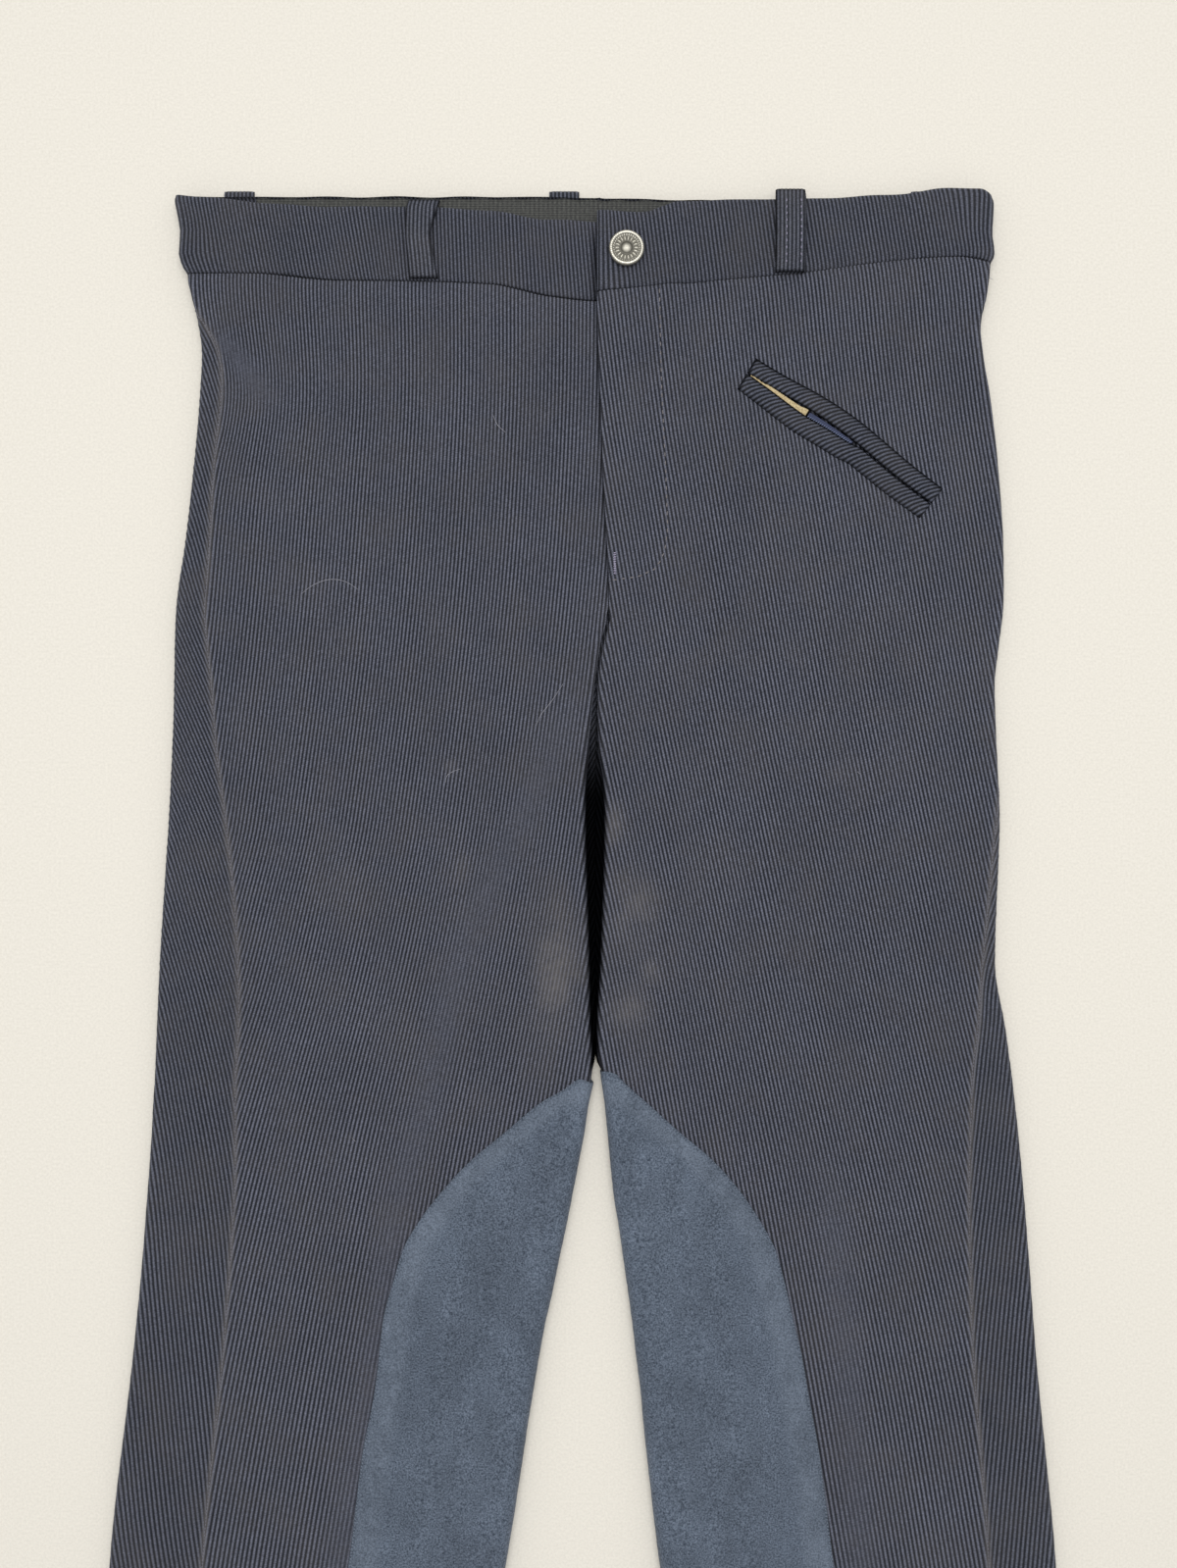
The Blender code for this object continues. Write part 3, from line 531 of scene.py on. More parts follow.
def mesh_object(name, points, faces, material, uv=None, values=None):
    """A mesh from arrays, smooth shaded, with a map of the grain and named values for its material."""
    mesh = bpy.data.meshes.new(name)
    mesh.vertices.add(len(points))
    mesh.vertices.foreach_set("co", np.asarray(points, np.float32).ravel())
    faces = np.asarray(faces, np.int32)
    mesh.loops.add(faces.size)
    mesh.loops.foreach_set("vertex_index", faces.ravel())
    mesh.polygons.add(len(faces))
    mesh.polygons.foreach_set("loop_start", np.arange(len(faces), dtype=np.int32) * faces.shape[1])
    mesh.update(calc_edges=True)
    mesh.polygons.foreach_set("use_smooth", np.ones(len(faces), bool))
    if uv is not None:
        layer = mesh.uv_layers.new(name="grain")
        layer.data.foreach_set("uv", np.asarray(uv, np.float32)[faces.ravel()].ravel())
    for key, data in (values or {}).items():
        held = mesh.attributes.new(key, "FLOAT", "POINT")
        held.data.foreach_set("value", np.asarray(data, np.float32))
    mesh.validate()
    mesh.materials.append(material)
    made = bpy.data.objects.new(name, mesh)
    bpy.context.scene.collection.objects.link(made)
    return made


def cells(index):
    """Triangles over a grid of numbered points."""
    a, b, c, e = index[:-1, :-1], index[:-1, 1:], index[1:, 1:], index[1:, :-1]
    return np.concatenate([np.stack([a, b, c], -1).reshape(-1, 3), np.stack([a, c, e], -1).reshape(-1, 3)])


def border_of(faces):
    """The edges that belong to one triangle only."""
    ends = np.concatenate([faces[:, [0, 1]], faces[:, [1, 2]], faces[:, [2, 0]]])
    _, first, count = np.unique(np.sort(ends, axis=1), axis=0, return_index=True, return_counts=True)
    return ends[first[count == 1]]


def wall(points, normals, faces, depth, extra):
    """Adds a turned edge of a given depth, in millimetres, round the border of a sheet."""
    border = border_of(faces)
    used = np.unique(border)
    twin = np.full(len(points), -1)
    twin[used] = len(points) + np.arange(len(used))
    sunk = points[used] - normals[used] * depth / 1000
    a, b = border[:, 0], border[:, 1]
    rim = np.concatenate([np.stack([b, a, twin[a]], -1), np.stack([b, twin[a], twin[b]], -1)])
    points = np.concatenate([points, sunk])
    extra = [np.concatenate([array, array[used]]) for array in extra]
    return points, np.concatenate([faces, rim]), extra


def facing(points, normals, faces):
    """Turns the triangles so that they face the way of the normals."""
    corner = points[faces]
    cross = np.cross(corner[:, 1] - corner[:, 0], corner[:, 2] - corner[:, 0])
    wrong = np.einsum("ij,ij->i", cross, normals[faces].sum(1)) < 0
    faces[wrong] = faces[wrong][:, ::-1]
    return faces


PAINTED = ("wear", "fade", "deep")


def ribbed_sheet(name, grid, clamp, material, depth=2.1):
    """A sheet over columns that run along the ribs. Columns past an edge stop on it and are merged there."""
    tall, wide = grid["x"].shape
    low, high = clamp
    index = np.arange(wide)[None, :].repeat(tall, 0)
    index = np.clip(index, low[:, None], high[:, None]) + np.arange(tall)[:, None] * wide
    faces = cells(index)
    whole = (faces[:, 0] != faces[:, 1]) & (faces[:, 1] != faces[:, 2]) & (faces[:, 0] != faces[:, 2])
    faces = faces[whole]
    used, faces = np.unique(faces, return_inverse=True)
    faces = faces.reshape(-1, 3)
    flat = {key: grid[key].ravel()[used] for key in grid}
    out = SKIN + flat["rise"]
    points = to_frame(flat["x"] + flat["nx"] * out, flat["d"], flat["z"] + flat["nz"] * out)
    normals = np.stack([flat["nx"], np.zeros(len(used)), flat["nz"]], -1)
    faces = facing(points, normals, faces)
    uv = np.stack([flat["rib"], flat["d"] / 10], -1)
    points, faces, extra = wall(points, normals, faces, depth, [uv] + [flat[key] for key in PAINTED])
    return mesh_object(name, points, faces, material, extra[0], dict(zip(PAINTED, extra[1:])))


def rib_rise(rib, share, depth):
    """The groove between ribs, as the cloth's depth below its rib tops."""
    return -depth * share * (0.5 + 0.5 * np.cos(2 * np.pi * rib))


# Where the cloth has faded or taken a brown mark: x, d, radius across, radius down, strength.
FADED = (
    (-21.0, 371.0, 11.0, 29.0, 0.95),
    (18.0, 345.0, 11.0, 19.0, 0.7),
    (14.0, 390.0, 9.0, 10.0, 0.75),
    (25.0, 373.0, 5.0, 6.0, 0.5),
    (8.0, 302.0, 5.0, 9.0, 0.6),
    (-71.0, 275.0, 4.0, 4.0, 0.4),
    (-66.0, 324.0, 4.0, 7.0, 0.4),
    (-120.0, 330.0, 11.0, 15.0, 0.2),
    (-120.0, 455.0, 3.0, 3.0, 0.3),
    (115.0, 278.0, 6.0, 4.0, 0.3),
)


def faded(x, d):
    total = np.zeros(np.broadcast(x, d).shape)
    for x0, d0, wide, tall, strength in FADED:
        total += strength * np.exp(-(((x - x0) / wide) ** 2) - ((d - d0) / tall) ** 2)
    return total * (0.8 + 0.5 * noise(x / 9, d / 11, 5))


def panel_rows():
    """Distances down the leg, close together at the waist seam and wider apart below the knee."""
    top = [38, 38.8, 39.8, 41, 42.6, 44.6, 47, 50, 54]
    return np.concatenate([top, np.arange(58, 670, 4.0), np.arange(670, LENGTH, 8.0), [LENGTH]])


def panel_grid(half, part, pitch, rib_depth):
    """Points of a front or a back, in rows that follow the waist seam at the top."""
    front = part == "front"
    point_at = half.front_point if front else half.back_point
    lean = half.lean[part]
    rows = panel_rows()

    def line(u, d):
        drift = np.interp(d, half.steps, lean)
        along = drift + u * GRAIN.at(f"{half.name}_spread", d)
        return half.s_at(along + hip_bend(half, along, d), d) if front else along

    def limits(d):
        seam = half.section("seam", d)
        if front:
            return seam + SEWN / 2, half.front_length(d)
        return -half.back_length(d), seam - SEWN / 2

    spread = GRAIN.at(f"{half.name}_spread", rows)
    low, high = limits(rows)
    drift = np.interp(rows, half.steps, lean)
    if front:
        ends = np.stack([half.round_outer(low, rows)[0], half.inner(rows) + 12 * half.inward])
        ends = np.concatenate([ends, [half.outer(rows)]])
    else:
        ends = np.stack([low, high])
    ends = (ends - drift) / spread
    step = pitch / RIB_SAMPLES
    start, stop = math.floor(ends.min() / step) - 26, math.ceil(ends.max() / step) + 26
    u = np.arange(start, stop + 1) * step
    if half.inward < 0 and front:
        u = u[::-1]
    first = rows[:, None] * np.ones(len(u))
    s = np.clip(line(u[None, :], first), *[v[:, None] for v in limits(rows)])
    x = point_at(s, first)[0]
    seam = np.where(s > 0, half.waist.at("front_seam", x), half.waist.at("back_seam", x))
    d = first + (seam + SEAM_GAP / 2 - WAIST) * (1 - ease(first, WAIST, 130))
    low, high = limits(d)
    along = line(u[None, :], d)
    s = np.clip(along, low, high)
    x, z, nx, nz = point_at(s, d)
    rib = (u / pitch)[None, :] + 0 * d
    on_top = s > 0
    worn = half.crease(x, d) * on_top
    seam, edge = (s - low, high - s) if front else (high - s, s - low)
    # Each piece sinks a little where it is sewn to the next, and rounds over at its free edge.
    sunk = -0.75 * np.exp(-((edge / 1.6) ** 2)) - 0.8 * np.exp(-(((first - WAIST) / 2.6) ** 2))
    sunk = sunk - 0.2 * np.exp(-((seam / 0.5) ** 2))
    folded = 1 - ease(np.abs(s), QUARTER - 1, QUARTER + 3)
    puff = 0.35 * np.exp(-(((edge - 4.5) / 2.6) ** 2)) * on_top
    puff = puff + 0.65 * np.exp(-(((seam - 0.9) / 1.0) ** 2)) * (1 - folded)
    hip = np.clip(folds_at(FOLDS[:1], x, d) / FOLDS[0][5], 0, 1) * front * (half.name == "left")
    seamed = np.exp(-((seam / 1.2) ** 2))
    shallow = (1 - 0.4 * worn) * (1 - 0.8 * folded) * (1 - 0.85 * hip) * (1 - 0.8 * seamed)
    rise = rib_rise(rib, shallow, rib_depth) + sunk + puff
    rise = rise + 0.07 * noise(x / 3, d / 5, 11)
    # Faces stay where at least one column is inside the edges.
    inside = (along > low) & (along < high)
    clamp = inside.argmax(1) - 1, wide_last(inside) + 1
    clamp = np.clip(clamp[0], 0, len(u) - 1), np.clip(clamp[1], 0, len(u) - 1)
    grid = {"x": x, "d": d, "z": z, "nx": nx, "nz": nz, "rise": rise, "rib": rib}
    grid["wear"] = np.maximum(worn, 1.7 * hip)
    grid["fade"] = np.maximum(faded(x, d) * on_top, seamed)
    # No light reaches the cloth that turns down into the valley between the legs, or the seat in it.
    valley = ease(d, *VALLEY_DARKENS) * (1 - ease(d, CROTCH + 4, CROTCH_END + 6))
    if front:
        end, turn, _ = half.front_end(d)
        start = half.s_at(end - half.inward * FOLD_RADIUS * np.sin(turn), d)
        grid["deep"] = valley * ease(s - start, 0.2, 2.4)
        if half.name == "right":
            grid["deep"] = np.maximum(grid["deep"], in_pocket(x, d))
        else:
            # The right front's edge shades the left one beside it.
            beside = np.exp(-(((x - CENTRE.at("fly", d)) / 1.1) ** 2)) * (1 - ease(d, 180, 188))
            grid["deep"] = np.maximum(grid["deep"], 0.7 * beside)
    else:
        grid["deep"] = valley * (1 - ease(np.abs(x), 9, 16))
    return grid, clamp


def wide_last(inside):
    return inside.shape[1] - 1 - inside[:, ::-1].argmax(1)


def linear(code):
    """An sRGB hex code as a linear colour."""
    values = [int(code[i : i + 2], 16) / 255 for i in (0, 2, 4)]
    return [v / 12.92 if v <= 0.04045 else ((v + 0.055) / 1.055) ** 2.4 for v in values] + [1.0]


def wire(tree, made, inputs):
    """Links or sets a node's inputs, given in their order or by key."""
    for key, value in inputs.items() if isinstance(inputs, dict) else enumerate(inputs):
        if isinstance(value, bpy.types.NodeSocket):
            tree.links.new(value, made.inputs[key])
        else:
            made.inputs[key].default_value = value


def node(tree, kind, inputs=(), out=0, **settings):
    """Adds one node with its settings and links, and gives the output that is read."""
    made = tree.nodes.new(kind)
    for key, value in settings.items():
        setattr(made, key, value)
    wire(tree, made, inputs)
    return made.outputs[out] if len(made.outputs) else made


MATH, MIX, RANGE = "ShaderNodeMath", "ShaderNodeMix", "ShaderNodeMapRange"
NOISE, BUMP = "ShaderNodeTexNoise", "ShaderNodeBump"
SPLIT, ATTRIBUTE = "ShaderNodeSeparateXYZ", "ShaderNodeAttribute"
KNIT = 1.1  # length of one knit stitch


def grains(place, size, detail):
    """The inputs of a noise whose features have a given size, in metres."""
    return {"Vector": place, "Scale": 1 / size, "Detail": detail, "Roughness": 0.6}


def new_material(name):
    """A material with the object's own place to lay its patterns on."""
    material = bpy.data.materials.new(name)
    material.use_nodes = True
    tree = material.node_tree
    return material, tree, tree.nodes["Principled BSDF"], node(tree, "ShaderNodeTexCoord", out="Object")


def rib_cloth(name, ridge, groove):
    """Worsted rib cloth: matt, pale along the rib tops and dark between them in painted shade, with a fine
    twisted yarn.

    The yarn is about 0.5 mm, and each rib is speckled by it.
    """
    material, tree, shader, place = new_material(name)
    grain = node(tree, "ShaderNodeUVMap", uv_map="grain")
    across, down = (node(tree, SPLIT, (grain,), k) for k in (0, 1))
    worn, fade, deep = (node(tree, ATTRIBUTE, out="Fac", attribute_name=key) for key in PAINTED)
    # Feature sizes in metres: yarn, fuzz, cloudy tone, marks in the fades, and warm stains.
    yarn, fuzz, cloud, mark, stain = (
        node(tree, NOISE, grains(place, size, detail))
        for size, detail in ((0.0005, 2.0), (0.0011, 3.0), (0.045, 3.0), (0.004, 3.0), (0.02, 4.0))
    )
    shake = node(tree, RANGE, (yarn, 0.3, 0.7, -0.07, 0.07))
    rib = node(tree, MATH, (across, shake), operation="ADD")
    turn = node(tree, MATH, (rib, 2 * math.pi), operation="MULTIPLY")
    wave = node(tree, MATH, (turn,), operation="COSINE")
    height = node(tree, RANGE, (wave, 1.0, -1.0, 0.0, 1.0))
    share = node(tree, RANGE, (height, 0.18, 0.95, 0.0, 1.0))
    # Worn cloth is nearer to one colour.
    level = node(tree, MATH, (0.46, share), operation="SUBTRACT")
    worn = node(tree, MATH, (worn, 0.5), operation="MULTIPLY")
    share = node(tree, MATH, (level, worn, share), operation="MULTIPLY_ADD")
    # The groove colour between the ribs is painted shade.
    colour = node(tree, MIX, {0: share, 6: groove, 7: ridge}, 2, data_type="RGBA")
    # Each rib is a chain of slanting knit stitches, staggered from rib to rib.
    climb = node(tree, MATH, (down, 2 * math.pi * 10 / KNIT), operation="MULTIPLY")
    turn = node(tree, MATH, (rib, 3.4, climb), operation="MULTIPLY_ADD")
    wave = node(tree, MATH, (turn,), operation="SINE")
    bead = node(tree, RANGE, (wave, -1.0, 1.0, 0.84, 1.12))
    speckle = node(tree, RANGE, (fuzz, 0.3, 0.7, 0.66, 1.34))
    tone = node(tree, RANGE, (cloud, 0.25, 0.75, 0.9, 1.1))
    for part in (bead, speckle):
        tone = node(tree, MATH, (tone, part), operation="MULTIPLY")
    colour = node(tree, MIX, {0: 1.0, 6: colour, 7: tone}, 2, data_type="RGBA", blend_type="MULTIPLY")
    patchy = node(tree, RANGE, (mark, 0.3, 0.7, 0.3, 0.62))
    fade = node(tree, MATH, (fade, patchy), operation="MULTIPLY")
    warm = node(tree, RANGE, (stain, 0.42, 0.68, 0.0, 0.16))
    # Painted shade: the cloth goes near black where no light reaches.
    dark = node(tree, MATH, (deep, 0.97), operation="MULTIPLY")
    for amount, code in ((fade, "74706F"), (warm, "57524E"), (dark, "010101")):
        colour = node(tree, MIX, {0: amount, 6: colour, 7: linear(code)}, 2, data_type="RGBA")
    # Neither lustre nor fuzz shows where no light reaches.
    lustre, sheen = (node(tree, RANGE, (deep, 0.0, 1.0, most, 0.0)) for most in (0.25, 0.06))
    bump = node(tree, MATH, (height, 0.9, yarn), operation="MULTIPLY_ADD")
    bump = node(tree, BUMP, {"Height": bump, "Strength": 0.7, "Distance": 0.0003})
    wire(tree, shader, {"Base Color": colour, "Roughness": 0.9, "Specular IOR Level": lustre})
    wire(tree, shader, {"Sheen Weight": sheen, "Sheen Roughness": 0.6, "Normal": bump})
    return material


def suede(name, tips):
    """Brushed synthetic suede: a short nap that catches the light in soft cloudy patches.

    The nap is tufts of about 0.8 mm, and the brushing leaves marks about 16 mm across.
    """
    material, tree, shader, place = new_material(name)
    stretched = node(tree, "ShaderNodeMapping", {"Vector": place, "Scale": (1.0, 0.6, 1.0)})
    nap = node(tree, NOISE, grains(place, 0.0008, 4.0))
    brushed = node(tree, NOISE, grains(stretched, 0.016, 4.0))
    share = node(tree, RANGE, (nap, 0.32, 0.68, 0.0, 1.0))
    colour = node(tree, MIX, {0: share, 6: linear("2F3844"), 7: tips}, 2, data_type="RGBA")
    tone = node(tree, RANGE, (brushed, 0.3, 0.7, 0.8, 1.16))
    colour = node(tree, MIX, {0: 1.0, 6: colour, 7: tone}, 2, data_type="RGBA", blend_type="MULTIPLY")
    worn = node(tree, ATTRIBUTE, out="Fac", attribute_name="wear")
    amount = node(tree, RANGE, (brushed, 0.3, 0.7, 0.06, 0.3))
    worn = node(tree, MATH, (worn, amount), operation="MULTIPLY")
    colour = node(tree, MIX, {0: worn, 6: colour, 7: linear("828C9A")}, 2, data_type="RGBA")
    bump = node(tree, BUMP, {"Height": nap, "Strength": 0.8, "Distance": 0.0005})
    wire(tree, shader, {"Base Color": colour, "Roughness": 0.95, "Specular IOR Level": 0.15})
    wire(tree, shader, {"Sheen Weight": 0.12, "Sheen Roughness": 0.5, "Normal": bump})
    return material


def thread(name, base):
    """Spun sewing thread: matt with a soft lustre, darker between its plies."""
    material, tree, shader, place = new_material(name)
    ply = node(tree, NOISE, grains(place, 0.0004, 1.0))
    ply = node(tree, RANGE, (ply, 0.3, 0.7, 0.65, 1.2))
    colour = node(tree, MIX, {0: 1.0, 6: base, 7: ply}, 2, data_type="RGBA", blend_type="MULTIPLY")
    wire(tree, shader, {"Base Color": colour, "Roughness": 0.75, "Sheen Weight": 0.1})
    return material


def woven_elastic(name):
    """Woven elastic: near-black warp bars over rubber, in coarse crosswise courses 1.1 mm apart."""
    material, tree, shader, place = new_material(name)
    grain = node(tree, "ShaderNodeUVMap", uv_map="grain")
    bar, course = (node(tree, SPLIT, (grain,), k) for k in (0, 1))
    turns = (node(tree, MATH, (part, 2 * math.pi), operation="MULTIPLY") for part in (bar, course))
    bar, course = (node(tree, MATH, (turn,), operation="COSINE") for turn in turns)
    weave = node(tree, MATH, (bar, 0.6, course), operation="MULTIPLY_ADD")
    weave = node(tree, RANGE, (weave, -1.6, 1.6, 1.0, 0.0))
    colour = node(tree, MIX, {0: weave, 6: linear("191A1A"), 7: linear("4E4F4B")}, 2, data_type="RGBA")
    tone = node(tree, NOISE, grains(place, 0.0011, 3.0))
    tone = node(tree, RANGE, (tone, 0.3, 0.7, 0.45, 1.5))
    colour = node(tree, MIX, {0: 1.0, 6: colour, 7: tone}, 2, data_type="RGBA", blend_type="MULTIPLY")
    wire(tree, shader, {"Base Color": colour, "Roughness": 0.7})
    return material


def cotton_tape(name):
    """Unbleached cotton tape, plain woven at about 0.6 mm and fraying at its end."""
    material, tree, shader, place = new_material(name)
    weave = node(tree, NOISE, grains(place, 0.0006, 2.0))
    share = node(tree, RANGE, (weave, 0.3, 0.7, 0.0, 1.0))
    colour = node(tree, MIX, {0: share, 6: linear("9A8560"), 7: linear("DCCBA0")}, 2, data_type="RGBA")
    bump = node(tree, BUMP, {"Height": weave, "Strength": 0.5, "Distance": 0.0002})
    wire(tree, shader, {"Base Color": colour, "Roughness": 0.9, "Normal": bump})
    return material


def pewter(name, bright):
    """Antique pewter: a cast and tumbled alloy, bright on what stands up and dark in the hollows."""
    material, tree, shader, place = new_material(name)
    raised = node(tree, ATTRIBUTE, out="Fac", attribute_name="wear")
    rubbed = node(tree, NOISE, grains(place, 0.0012, 3.0))
    rubbed = node(tree, RANGE, (rubbed, 0.25, 0.7, 0.75, 1.1))
    rubbed = node(tree, MATH, (raised, rubbed), operation="MULTIPLY")
    colour = node(tree, MIX, {0: rubbed, 6: linear("3E3C36"), 7: bright}, 2, data_type="RGBA")
    rough = node(tree, RANGE, (rubbed, 0.0, 1.0, 0.6, 0.3))
    wire(tree, shader, {"Base Color": colour, "Metallic": 1.0, "Roughness": rough})
    return material


def floor_cloth(name, pale):
    """A plain pale backing sheet with a faint weave about 1 mm across."""
    material, tree, shader, place = new_material(name)
    weave = node(tree, NOISE, grains(place, 0.0012, 3.0))
    share = node(tree, RANGE, (weave, 0.3, 0.7, 0.0, 1.0))
    colour = node(tree, MIX, {0: share, 6: linear("E5E0D5"), 7: pale}, 2, data_type="RGBA")
    wire(tree, shader, {"Base Color": colour, "Roughness": 0.95, "Specular IOR Level": 0.1})
    return material


def flat_cut(low, high, rows):
    """(width, length), area of a piece whose edges are given along its rows, in metres."""
    wide = high - low
    area = float(np.sum((wide[1:] + wide[:-1]) / 2 * np.diff(rows))) / 1e6
    return (float(wide.max()) / 1000, float(rows[-1] - rows[0]) / 1000), area


def declare(made, nodes):
    """Ties a finished piece to the frame, and hides the parts of the frame that it stands for."""
    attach(made, "root")
    if nodes:
        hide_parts(*nodes)


def slab(name, x, d, z, material, thick, uv=None, values=None):
    """A closed strip of cloth with its outer face on a grid of points."""
    top = to_frame(x, d, z).reshape(-1, 3)
    under = to_frame(x, d, z - thick).reshape(-1, 3)
    up = np.tile([0.0, 0.0, 1.0], (len(top), 1))
    faces = facing(top, up, cells(np.arange(x.size).reshape(x.shape)))
    a, b = border_of(faces).T
    n = len(top)
    rim = np.concatenate([np.stack([b, a, a + n], -1), np.stack([b, a + n, b + n], -1)])
    faces = np.concatenate([faces, faces[:, ::-1] + n, rim])
    uv = None if uv is None else np.concatenate([uv.reshape(-1, 2)] * 2)
    values = {key: np.concatenate([np.ravel(v)] * 2) for key, v in (values or {}).items()}
    return mesh_object(name, np.concatenate([top, under]), faces, material, uv, values)


# How the ribs of the waistband lean: change of x for each mm down.
BAND_GRAIN = {
    "left": Table("x lean", ((-200, 0.19), (-120, 0.18), (-80, 0.04), (-57, 0.04), (0, 0.09), (31, 0.09))),
    "right": Table("x lean", ((-1, 0.13), (60, 0.14), (120, 0.17), (190, 0.19))),
}


def band_grid(half, pitch, rib_depth):
    """The waistband of one half, from the fly end round the side to the centre back."""
    shares = np.array([0, 0.03, 0.07, 0.14, 0.25, 0.4, 0.55, 0.7, 0.82, 0.9, 0.95, 0.98, 1.0])
    middle = WAIST / 2
    last = half.s_at(BAND_LAP, middle) if half.name == "left" else half.front_length(middle)
    low_s, high_s = -float(half.back_length(middle)), float(last)
    step = pitch / RIB_SAMPLES
    s0 = np.concatenate([[low_s], np.arange(low_s + step / 2, high_s, step), [high_s]])
    tall = shares[:, None] + 0 * s0
    s = s0[None, :] + 0 * tall
    x = np.where(s > 0, half.front_point(s, middle)[0], half.back_point(s, middle)[0])
    x_middle = x
    seam = np.where(s > 0, half.waist.at("front_seam", x), half.waist.at("back_seam", x))
    top = np.where(s > 0, half.waist.at("front_top", x), half.waist.at("back_top", x))
    # The top edge is drawn in a little between stitches, which scallops it.
    top = top + 0.35 * np.sin(s / 5.2) * (0.6 + 0.4 * np.sin(s / 23.0))
    low = seam - 1.8 * SEAM_GAP
    d = low + (top - low) * tall
    # Away from the fold a rib is a straight line in x, so it isn't moved by the outline's waves.
    lean = BAND_GRAIN[half.name].at("lean", x_middle) * ease(np.minimum(s0 - low_s, high_s - s0), 0, 14)
    drift = half.outer(d) - half.outer(middle) - lean * (d - middle)
    flat = ease(np.abs(s), 4, 22)
    least = -half.back_length(d)
    most = half.s_at(BAND_LAP, d) if half.name == "left" else half.front_length(d)
    s = np.clip(s - np.sign(s) * half.inward * drift * flat, least, most)
    s[:, 0], s[:, -1] = least[:, 0], most[:, -1]
    front = half.front_point(s, d)
    back = half.back_point(s, d)
    x, z, nx, nz = (np.where(s > 0, a, b) for a, b in zip(front, back))
    rib = s0[None, :] / pitch + 0 * s
    high = np.abs(top - low)
    edge = high * np.minimum(tall, 1 - tall)
    end = np.minimum(s - least, most - s)
    sunk = -0.95 * np.exp(-((edge / 1.5) ** 2)) - 0.5 * np.exp(-((end / 1.2) ** 2))
    swell = 0.25 * np.exp(-(((tall - 0.75) / 0.2) ** 2))
    rise = rib_rise(rib, 1.0, rib_depth) * (1 - np.exp(-((edge / 1.2) ** 2))) + sunk + swell
    clamp = np.zeros(len(shares), int), np.full(len(shares), len(s0) - 1)
    grid = {"x": x, "d": d, "z": z, "nx": nx, "nz": nz, "rise": rise, "rib": rib}
    for key in PAINTED:
        grid[key] = 0 * x
    # Painted shadow: the right band's edge shades the left band beside it.
    if half.name == "left":
        beside = np.exp(-(((x - CENTRE.at("fly", d)) / 2.6) ** 2)) * (s > 0)
        grid["deep"] = 0.75 * beside * ease(1 - tall, 0.0, 0.3)
    cut = ((high_s - low_s) / 1000, float(high.max()) / 1000)
    return grid, clamp, (cut, (high_s - low_s) * float(high.mean()) / 1e6)


def patch_surface(half):
    """The suede from its front edge round the inner fold to its edge under the leg."""
    rows = np.concatenate([np.arange(PATCH_TOP, 660, 2.6), np.arange(661, PATCH_END, 6.0), [PATCH_END]])
    edge = half.s_at(KNEE_PATCH.at(half.name, rows), rows)
    front_end, back_end = half.front_length(rows), half.back_length(rows)
    top = [0, 0.006, 0.014, 0.026]
    share = np.concatenate([top, np.linspace(0.045, 0.86, 46), np.linspace(0.885, 1.0, 8)])
    over = edge[:, None] + (front_end - edge)[:, None] * share
    under = -back_end[:, None] + (back_end - edge)[:, None] * (1 - share[::-1])
    # The left patch starts a little lower, rounded, and the right one comes to a point at the fold.
    early = 1 - ease(rows, PATCH_TOP, PATCH_TOP + 16)[:, None]
    inward = front_end[:, None] - over
    if half.name == "right":
        lead = -2.7 * np.exp(-(((inward - 3.0) / 5.5) ** 2))
    else:
        lead = 1.0 + 2.6 * np.exp(-((inward / 3.2) ** 2))
    d = rows[:, None] + early * lead
    top = half.front_point(over, d)
    low = half.back_point(under, d[:, ::-1])
    x, z, nx, nz = (np.concatenate([a, b], axis=1) for a, b in zip(top, low))
    d = np.concatenate([d, d[:, ::-1]], axis=1)
    out = np.concatenate([over - edge[:, None], -edge[:, None] - under], axis=1)
    from_edge = np.minimum(out, (d - PATCH_TOP) * 0.9 + 1.0)
    band = ease(from_edge, 0.4, 3.0) * (1 - ease(from_edge, 9, 17))
    # At the inner fold the suede is pared thin at its top, where the cloth isn't drawn in for it yet.
    inward = np.concatenate([inward, inward[:, ::-1]], axis=1)
    thin = (1 - ease(d, PATCH_TOP, PATCH_TOP + PATCH_EASE)) * np.exp(-((inward / 9.0) ** 2))
    rise = SKIN + PATCH_LIFT - 1.15 * thin - 0.75 * np.exp(-((from_edge / 0.9) ** 2)) + 0.3 * band
    rise = rise + 0.09 * noise(x / 2.2, d / 2.6, 21) + 0.16 * noise(x / 13, d / 16, 22)
    points = to_frame(x + nx * rise, d, z + nz * rise)
    cut = flat_cut(edge * 0, 2 * (front_end - edge), rows)
    return points, (nx, nz), {"wear": band}, cut


def patch_object(half, material):
    points, (nx, nz), values, cut = patch_surface(half)
    flat, normals = points.reshape(-1, 3), np.stack([nx.ravel(), 0 * nx.ravel(), nz.ravel()], -1)
    faces = facing(flat, normals, cells(np.arange(len(flat)).reshape(nx.shape)))
    wear = values["wear"].ravel()
    flat, faces, (wear,) = wall(flat, normals, faces, PATCH, [wear])
    return mesh_object(f"suede_{half.name}", flat, faces, material, None, {"wear": wear}), cut


